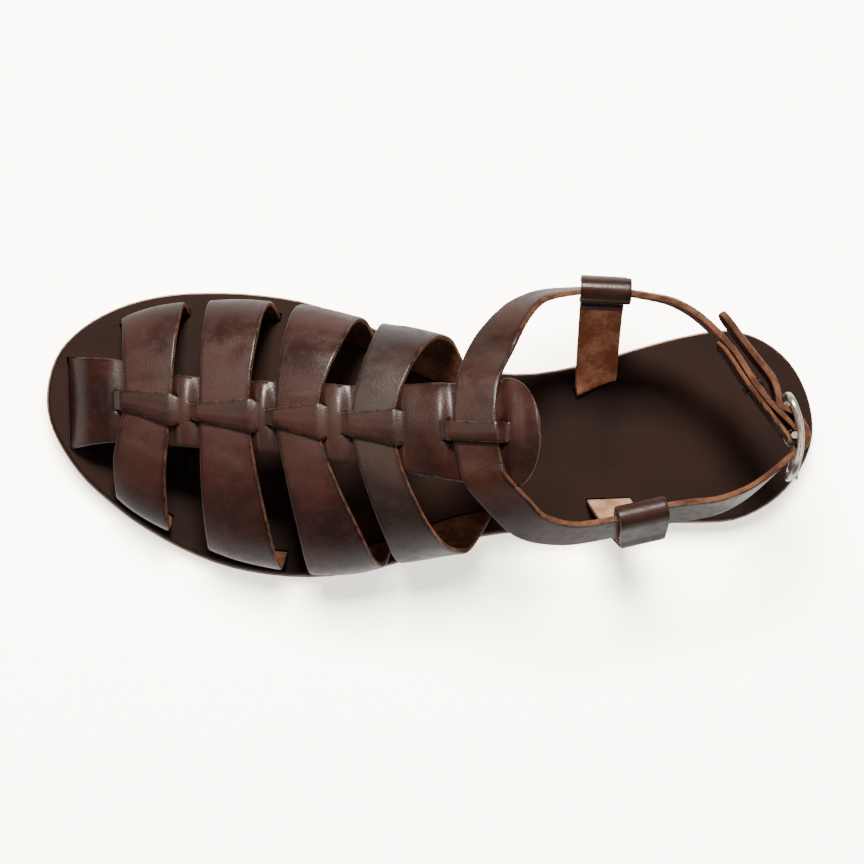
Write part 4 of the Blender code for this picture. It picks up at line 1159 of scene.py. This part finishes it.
HEEL = BuckleFrame()
FOLD_RADIUS = BAR_RADIUS + CLEARANCE + 0.5 * FOLD_THICKNESS
TAIL_RADIUS = FOLD_RADIUS + 0.5 * FOLD_THICKNESS + 2.0 * CLEARANCE + 0.5 * ANKLE_THICKNESS
FLAP_GAP = 0.5 * (ANKLE_THICKNESS + FOLD_THICKNESS) + 1.5 * CLEARANCE
END_OUT = BUCKLE_CROWN - BUCKLE_END_DROP
UNDER_END = END_OUT - 0.5 * BUCKLE_DEPTH - 3.0 * CLEARANCE - 0.5 * ANKLE_THICKNESS


def routed(row: Sequence[float]) -> tuple[Vector, Vector]:
    """Place and crosswise direction of a row of a route."""
    along, aside, height, east, north, up = row[:6]
    place = Vector((FORM.plan_x(along), aside * BALL_WIDTH,
                    height * INSTEP_HEIGHT + FORM.footbed_top(along)))
    return place, Vector((east, north, up)).normalized()


def ankle_rows() -> list[Row]:
    """Every row of the ankle strap, from the folded end to the tip of the tail."""
    rows: list[Row] = []
    for row, ahead in zip(MEDIAL_ROUTE[-4:], MEDIAL_ROUTE[-5:]):
        place, direction = routed(row)
        inward = (place - routed(ahead)[0]).cross(direction).normalized()
        if inward.x < 0.0:
            inward.negate()
        rows.append((place + inward * FLAP_GAP, direction, 1.0, FOLD_THICKNESS))
    rows[0] = (rows[0][0].lerp(rows[1][0], 0.72), rows[0][1], 1.0, FOLD_THICKNESS)
    rows += [(place, HEEL.up, 1.0, FOLD_THICKNESS)
             for place in HEEL.round_bar(FOLD_RADIUS, (-95, -48, 0, 48, 90, 128))]
    rows += [(*routed(row), 1.0, ANKLE_THICKNESS) for row in reversed(MEDIAL_ROUTE)]
    for along, share, lift in TONGUE_CROSSING:
        distance = share * STRIP_WIDTH
        normal = FORM.outward(FORM.from_ridge, along, distance, NORMAL_STEP)
        point = FORM.from_ridge(along, distance) + normal * (ANKLE_LIFT + lift * ANKLE_THICKNESS)
        heelward = FORM.from_ridge(along - 0.01, distance) - FORM.from_ridge(along + 0.01, distance)
        rows.append((point, heelward.normalized(), 1.0, ANKLE_THICKNESS))
    rows += [(*routed(row), 1.0, ANKLE_THICKNESS) for row in LATERAL_ROUTE]
    rows += [(place, HEEL.up, 1.0, ANKLE_THICKNESS)
             for place in HEEL.round_bar(TAIL_RADIUS, (48, 90))]
    for aside, out in ((0.55, 0.2 * TAIL_RADIUS), (0.80, 0.95 * UNDER_END), (1.0, UNDER_END)):
        rows.append((HEEL.at(-aside * HEEL.end_place, out), HEEL.up, 1.0, ANKLE_THICKNESS))
    rows += [(*routed(row), row[6], ANKLE_THICKNESS) for row in TAIL_ROUTE]
    return rows


def rod(start: Vector, end: Vector, radius: float, tip: float | None = None) -> bpy.types.Object:
    """Adds a round rod or cone between two points.

    Args:
        start: Centre of its first end.
        end: Centre of its other end.
        radius: Radius at the start.
        tip: Radius at the end, if it differs.

    Returns:
        The object, with its place in its mesh.
    """
    item = added(bpy.ops.mesh.primitive_cone_add, vertices=ROD_SIDES, radius1=radius,
                 radius2=radius if tip is None else tip, depth=(end - start).length)
    turn = (end - start).to_track_quat("Z", "Y").to_matrix().to_4x4()
    item.data.transform(Matrix.Translation(start.lerp(end, 0.5)) @ turn)
    return item


def boolean(item: bpy.types.Object, other: bpy.types.Object, operation: str) -> None:
    """Joins or cuts an object with another, which is then removed."""
    applied(item, "BOOLEAN", operation=operation, solver="EXACT", object=other)
    bpy.data.objects.remove(other, do_unlink=True)


def bevelled(item: bpy.types.Object, width: float) -> None:
    """Rounds an object's sharp edges."""
    applied(item, "BEVEL", width=width, segments=3, limit_method="ANGLE",
            angle_limit=math.radians(SHARP_METAL))


@dataclass
class AnkleStrap:
    """The long strap, from the fold round the bar to the tip of its tail."""

    hide: Hide
    step: float = 0.0011
    columns: int = 16
    spare_holes: tuple[float, ...] = (0.011, 0.021, 0.031)
    hole_radius: float = 0.0010

    def build(self) -> bpy.types.Object:
        """Lays the strap and punches its holes."""
        route = Ribbon(ankle_rows(), self.step)
        blank = Blank("ankle_strap_leather", self.columns, round(route.length / self.step))
        blank.thicken(self.hide)
        item = blank.lay(lambda across, run, lane: route.spot(across, run, ANKLE_WIDTH))
        slot = BAR_RADIUS + 2.0 * CLEARANCE + 2.0 * PRONG_RADIUS
        half = PRONG_RADIUS + CLEARANCE
        boolean(item, rod(HEEL.at(0.0, 0.0, -half), HEEL.at(0.0, 0.0, half), slot), "DIFFERENCE")
        start, tip = prong_line()
        boolean(item, rod(start, start.lerp(tip, 0.75), half), "DIFFERENCE")
        for distance in self.spare_holes:
            frame = route.at(route.length - distance)
            place, normal = Vector(frame[:3]), Vector(frame[9:12])
            boolean(item, rod(place - normal * ANKLE_THICKNESS, place + normal * ANKLE_THICKNESS,
                              self.hole_radius), "DIFFERENCE")
        smooth(item, SHARP)
        put_down(item, "ankle_strap", "ankle_strap")
        return item


def side_of(name: str) -> Side:
    """The side of a keeper."""
    return Side.MEDIAL if name == "keeper_medial" else Side.LATERAL


@dataclass
class Keeper:
    """A leg from its slit up outside the ankle strap, over it and down inside, fixed to itself."""

    name: str
    hide: Hide
    step: float = 0.0010
    columns: int = 16
    bow: float = 0.0015
    flap_gap: float = 1.04 * KEEPER_THICKNESS

    def rows(self) -> list[Row]:
        """Rows of the keeper from the footbed to the end of its flap."""
        along_goal, (front_along, front_y), (back_along, back_y) = KEEPERS[self.name]
        side = side_of(self.name).value
        route = Ribbon(ankle_rows(), FINE_STEP)
        goal = FORM.plan_x(along_goal)
        frames = [f for f in route.frames if f[1] * side > 0.02]
        frame = min(frames, key=lambda f: abs(f[0] - goal))
        place, up = Vector(frame[:3]), Vector(frame[6:9])
        forward = Vector(frame[3:6])
        forward = forward if forward.x > 0.0 else -forward
        out = forward.cross(up).normalized()
        if out.y * side < 0.0:
            out.negate()
        front = Vector((FORM.plan_x(front_along), front_y * BALL_WIDTH, 0.0))
        back = Vector((FORM.plan_x(back_along), back_y * BALL_WIDTH, 0.0))
        top = FORM.footbed_top(0.5 * (front_along + back_along))
        root = front.lerp(back, 0.5) + Vector((0.0, 0.0, top))
        slit = (front - back).normalized()
        thick = KEEPER_THICKNESS
        reach = 0.5 * ANKLE_THICKNESS + KEEPER_EASE + 0.5 * thick
        crest = 0.5 * ANKLE_WIDTH + KEEPER_EASE + 0.5 * thick

        def spot(outwards: float, upwards: float) -> Vector:
            """Point at a distance outwards and upwards from the ankle strap's middle."""
            return place + out * outwards + up * upwards

        low = spot(reach, -crest)
        middle = root.lerp(low, 0.5) + out * self.bow
        leg_way = (low - root).normalized()
        inward = -(out - leg_way * out.dot(leg_way)).normalized()
        rows = [(root - Vector((0.0, 0.0, FOOTBED_THICKNESS - CLEARANCE)), slit), (root, slit),
                (root + Vector((0.0, 0.0, thick)), slit), (middle, slit.lerp(forward, 0.5)),
                (low, forward), (spot(reach, -0.4 * crest), forward),
                (spot(reach, 0.45 * crest), forward)]
        for degrees in (0, 45, 90, 135, 180):
            turn = math.radians(degrees)
            rows.append((spot(reach * math.cos(turn), crest - reach + reach * math.sin(turn)),
                         forward))
        rows += [(spot(-reach, 0.2 * crest), forward), (spot(-reach, -0.35 * crest), forward),
                 (spot(-0.8 * reach, -0.85 * crest), forward),
                 (low.lerp(root, 0.10) + inward * self.flap_gap, forward),
                 (low.lerp(root, 0.24) + inward * self.flap_gap, forward)]
        wide = [1.0] * 4 + [1.04, 1.12] + [1.16] * (len(rows) - 10) + [1.12, 1.06, 1.0, 1.0]
        return [(point, direction, share, thick)
                for (point, direction), share in zip(rows, wide)]

    def build(self) -> bpy.types.Object:
        """Cuts and lays the keeper."""
        route = Ribbon(self.rows(), self.step)
        blank = Blank(self.name + "_leather", self.columns, round(route.length / self.step))
        blank.thicken(self.hide)
        flip = float(side_of(self.name).value)
        item = blank.lay(lambda across, run, lane: route.spot(across, run, KEEPER_WIDTH, flip))
        put_down(item, "keeper", self.name)
        return item


def prong_line() -> tuple[Vector, Vector]:
    """Start and tip of the prong."""
    start = HEEL.at(BAR_RADIUS + CLEARANCE + PRONG_RADIUS, PRONG_RADIUS)
    tip_out = END_OUT + 0.5 * BUCKLE_DEPTH + CLEARANCE + PRONG_RADIUS
    return start, HEEL.at(HEEL.end_place + 0.4 * BUCKLE_RAIL, tip_out)


@dataclass
class Buckle:
    """The frame with its bar, the prong and the stud that holds the fold."""

    plate: bpy.types.Material
    stud: bpy.types.Material
    around: int = 128
    wire: int = 20

    def ring_spot(self, turn: float) -> Vector:
        """Centre of the frame's wire at a turn, on a rectangle with round corners."""
        straight, rise = HEEL.end_place - BUCKLE_CORNER, HEEL.half_up - BUCKLE_CORNER
        bend = 0.5 * math.pi * BUCKLE_CORNER
        quarter = rise + bend + straight
        number, run = divmod(4.0 * quarter * turn / (2.0 * math.pi), quarter)
        number = int(number) % 4
        if number % 2 == 1:
            run = quarter - run
        if run <= rise:
            aside, up = HEEL.end_place, run
        elif run <= rise + bend:
            angle = (run - rise) / BUCKLE_CORNER
            aside = straight + BUCKLE_CORNER * math.cos(angle)
            up = rise + BUCKLE_CORNER * math.sin(angle)
        else:
            aside, up = straight - (run - rise - bend), HEEL.half_up
        aside *= -1.0 if number in (1, 2) else 1.0
        up *= -1.0 if number in (2, 3) else 1.0
        return HEEL.at(aside, HEEL.crown(aside), up)

    def build_frame(self) -> bpy.types.Object:
        """Bends a ring of wire into the frame, flattens its section and joins the bar."""
        item = added(bpy.ops.mesh.primitive_torus_add, major_segments=self.around,
                     minor_segments=self.wire, major_radius=1.0, minor_radius=0.25)
        item.name = "buckle_frame_wire"
        for vertex in item.data.vertices:
            turn = math.atan2(vertex.co.y, vertex.co.x) % (2.0 * math.pi)
            across = (math.hypot(vertex.co.x, vertex.co.y) - 1.0) / 0.25
            out = vertex.co.z / 0.25
            centre = self.ring_spot(turn)
            step = 2.0 * math.pi / self.around * 0.5
            ahead = (self.ring_spot((turn + step) % (2.0 * math.pi))
                     - self.ring_spot((turn - step) % (2.0 * math.pi))).normalized()
            aside = HEEL.out.cross(ahead).normalized()
            if aside.dot(centre - HEEL.centre) < 0.0:
                aside.negate()
            through = ahead.cross(aside).normalized()
            if through.dot(HEEL.out) < 0.0:
                through.negate()
            reach = (abs(across) ** 2.6 + abs(out) ** 2.6) ** (1.0 / 2.6)
            across, out = across / reach, out / reach
            vertex.co = (centre + aside * across * 0.5 * BUCKLE_RAIL
                         + through * out * 0.5 * BUCKLE_DEPTH)
        settle(item)
        boolean(item, rod(HEEL.at(0.0, 0.0, -HEEL.half_up), HEEL.at(0.0, 0.0, HEEL.half_up),
                          BAR_RADIUS), "UNION")
        return item

    def build_prong(self) -> bpy.types.Object:
        """An eye round the bar and a tapered tongue that rests on the frame's end."""
        major = BAR_RADIUS + CLEARANCE + PRONG_RADIUS
        item = added(bpy.ops.mesh.primitive_torus_add, major_segments=40, minor_segments=16,
                     major_radius=major, minor_radius=PRONG_RADIUS)
        item.name = "buckle_prong_wire"
        item.data.transform(Matrix.Translation(HEEL.centre) @ HEEL.up.to_track_quat("Z", "Y")
                            .to_matrix().to_4x4())
        start, tip = prong_line()
        shank = rod(start, tip, PRONG_RADIUS, 0.7 * PRONG_RADIUS)
        bevelled(shank, 0.3 * PRONG_RADIUS)
        boolean(item, shank, "UNION")
        return item

    def build_stud(self) -> bpy.types.Object:
        """The stud: rounded heads on each side of the folded strap."""
        low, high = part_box("strap_rivet")
        centre = 0.5 * (Vector(low) + Vector(high))
        route = Ribbon(ankle_rows(), FINE_STEP)
        frames = [f for f in route.frames if f[13] > 0.999 * ANKLE_THICKNESS]
        frame = min(frames, key=lambda f: (Vector(f[:3]) - centre).length)
        inward = Vector(frame[9:12]).normalized()
        if inward.x < 0.0:
            inward.negate()
        place = Vector(frame[:3])
        outer = place - inward * (0.5 * ANKLE_THICKNESS + 2.0 * CLEARANCE)
        inner = place + inward * (FLAP_GAP + 0.5 * FOLD_THICKNESS + 2.0 * CLEARANCE)
        over = 0.5 * RIVET_HEAD_HEIGHT * inward
        item = rod(outer - over, inner + over, RIVET_RADIUS)
        item.name = "strap_rivet_stud"
        for base, way in ((outer, -1.0), (inner, 1.0)):
            head = rod(base, base + inward * way * RIVET_HEAD_HEIGHT, RIVET_HEAD_RADIUS)
            bevelled(head, RIVET_BEVEL)
            boolean(item, head, "UNION")
        return item

    def build(self) -> None:
        """Builds and dresses the three metal pieces."""
        for item, node, slot, finish in (
                (self.build_frame(), "buckle_frame", "buckle", self.plate),
                (self.build_prong(), "buckle_prong", "buckle", self.plate),
                (self.build_stud(), "strap_rivet", "rivet", self.stud)):
            item.data.materials.clear()
            item.data.materials.append(finish)
            for face in item.data.polygons:
                face.material_index = 0
            smooth(item, SHARP_METAL)
            put_down(item, slot, node)


def settle(item: bpy.types.Object) -> None:
    """Merges doubles and turns the faces outwards."""
    bpy.context.view_layer.objects.active = item
    bpy.ops.object.mode_set(mode="EDIT")
    bpy.ops.mesh.select_all(action="SELECT")
    bpy.ops.mesh.remove_doubles(threshold=1e-6)
    bpy.ops.mesh.normals_make_consistent(inside=False)
    bpy.ops.object.mode_set(mode="OBJECT")


@dataclass
class Sole:
    """The footbed, the outsole and the heel lift of the frame, dressed."""

    nodes: dict[str, bpy.types.Object]

    def dress(self) -> None:
        """Gives each layer its leather."""
        finishes = {
            "footbed": FootbedLeather("smooth waxed insole leather"),
            "outsole": SoleLeather("pressed bend leather, outsole"),
            "heel": SoleLeather("stacked bend leather, heel", dark="#6b4e3b", light="#9c7860",
                                layer_mm=1.8, edge="#b48d70"),
        }
        for name, finish in finishes.items():
            item = self.nodes[name]
            item.data.materials.clear()
            item.data.materials.append(finish.build())
            LOG.info("%s: dressed with %s", name, finish.name)


@dataclass
class Studio:
    """The pale floor, the soft lights and the camera at the photograph's angle."""

    eye: tuple[float, float, float] = (0.082, 0.090, 1.509)
    aim: tuple[float, float, float] = (0.000, 0.001, 0.009)
    up: tuple[float, float, float] = (-0.0314, -0.9995, 0.0)
    field: float = math.radians(11.55)
    table: float = 1.50
    room: float = 0.16
    white: str = "#fff8ee"

    def build_camera(self) -> None:
        """Places the camera over the shoe, toes to the left."""
        data = bpy.data.cameras.new("camera")
        data.sensor_width = 36.0
        data.lens = 0.5 * data.sensor_width / math.tan(0.5 * self.field)
        data.clip_start, data.clip_end = 0.05, 20.0
        camera = bpy.data.objects.new("camera", data)
        bpy.context.scene.collection.objects.link(camera)
        eye, aim = Vector(self.eye), Vector(self.aim)
        back = (eye - aim).normalized()
        right = Vector(self.up).cross(back).normalized()
        up = back.cross(right)
        turn = Matrix((right, up, back)).transposed().to_4x4()
        camera.matrix_world = Matrix.Translation(eye) @ turn
        bpy.context.scene.camera = camera

    def build_light(self, name: str, place: tuple[float, float, float], size: float,
                    power: float, only: bpy.types.Object | None = None) -> None:
        """Adds a square soft light that points at the shoe.

        Args:
            name: The light's name.
            place: Where it stands.
            size: Length of its side.
            power: Its power in watts.
            only: The one object that it lights, if it doesn't light all.
        """
        data = bpy.data.lights.new(name, "AREA")
        data.size = size
        data.energy = power
        data.color = linear(self.white)[:3]
        light = bpy.data.objects.new(name, data)
        bpy.context.scene.collection.objects.link(light)
        if only is not None:
            lit = bpy.data.collections.new(name + " receiver")
            lit.objects.link(only)
            light.light_linking.receiver_collection = lit
        spot = Vector(place)
        light.matrix_world = (Matrix.Translation(spot)
                              @ spot.to_track_quat("Z", "Y").to_matrix().to_4x4())

    def build_room(self) -> None:
        """Builds the room's light: dim above, and below what a white table throws back.

        The lit board itself is seen by the camera alone, so that it doesn't glare in the leather.
        """
        world = bpy.data.worlds.new("soft room")
        world.use_nodes = True
        tree = world.node_tree
        sky = tree.nodes["Background"]
        sky.inputs["Color"].default_value = linear("#fdf9f4")
        way = add_node(tree, "ShaderNodeTexCoord").outputs["Generated"]
        height = add_node(tree, "ShaderNodeSeparateXYZ", {"Vector": way}).outputs["Z"]
        row = (height, -0.15, 0.15, self.table, self.room)
        power = add_node(tree, "ShaderNodeMapRange", dict(zip(RANGE, row)),
                         interpolation_type="SMOOTHSTEP").outputs["Result"]
        tree.links.new(power, sky.inputs["Strength"])
        bpy.context.scene.world = world

    def build(self) -> None:
        """Builds the floor, the lights, the room and the camera."""
        floor = added(bpy.ops.mesh.primitive_plane_add, size=6.0)
        floor.data.transform(Matrix.Translation((0.0, 0.0, -CLEARANCE)))
        floor.name = "floor"
        floor.data.materials.append(Backdrop("opal light board").build())
        floor.visible_diffuse = floor.visible_glossy = floor.visible_shadow = False
        self.build_room()
        self.build_light("window", (0.05, -0.95, 1.45), 0.36, 54.0)
        self.build_light("far window", (-1.10, 0.10, 1.55), 0.7, 5.0)
        self.build_light("toe window", (1.00, -0.45, 1.30), 0.45, 2.5)
        self.build_light("table wash", (0.05, -0.75, 1.60), 0.80, 300.0, floor)
        self.build_camera()


def main() -> None:
    """Builds the sandal's looks in order."""
    logging.basicConfig(level=logging.INFO, format="%(name)s: %(message)s")
    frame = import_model()
    edge = FleshLeather("raw cut edge of tanned hide", dark="#4d2e1f", light="#83583f",
                        fibre_mm=0.7, stain_mm=8.0, depth=0.00014).build()
    flesh = FleshLeather("flesh side of tanned hide").build()
    vamp = Hide(GrainLeather("waxed full grain cowhide, strap").build(), flesh, edge)
    grey = Hide(GrainLeather("waxed full grain cowhide, fourth strap", dark="#251a17",
                             light="#352926", stretch_and_highlight_colour="#463934").build(), flesh, edge)
    spine = Hide(GrainLeather("waxed full grain cowhide, centre strip", dark="#24110e",
                              light="#341b15", stretch_and_highlight_colour="#4e3831", rough=0.29).build(), flesh, edge)
    ankle = Hide(GrainLeather("waxed full grain cowhide, ankle strap", dark="#29140d",
                              light="#3a2019", stretch_and_highlight_colour="#4a3029").build(),
                 FleshLeather("flesh side, ankle strap", dark="#4f2c1d", light="#7d523c").build(),
                 edge)
    band = GrainLeather("waxed full grain cowhide, keeper", dark="#200f0b", light="#331a14").build()
    loops = {
        # The inner keeper's flesh side is drawn much lighter than the straps' flesh: painted light
        # on a face that lies in shade.
        Side.MEDIAL: Hide(band, FleshLeather("flesh side, inner keeper, painted light", dark="#96573f",
                                             light="#d39672").build(), edge),
        Side.LATERAL: Hide(band, FleshLeather("flesh side, outer keeper", dark="#a27b60",
                                              light="#d6b093").build(), edge),
    }
    Sole(frame["nodes"]).dress()
    CentreStrip(spine).build()
    for number, rows in enumerate(CREASES, 1):
        marks = tuple(Crease(*row) for row in rows)
        CrossStrap(number, grey if number == 4 else vamp, marks).build()
    AnkleStrap(ankle).build()
    for name in KEEPERS:
        Keeper(name, loops[side_of(name)]).build()
    brass = PlatedMetal("darkened brass", colour="#6f604c", shade="#4c4034", rough=0.3).build()
    Buckle(PlatedMetal("polished nickel plate").build(), brass).build()
    Studio().build()


if __name__ == "__main__":
    main()
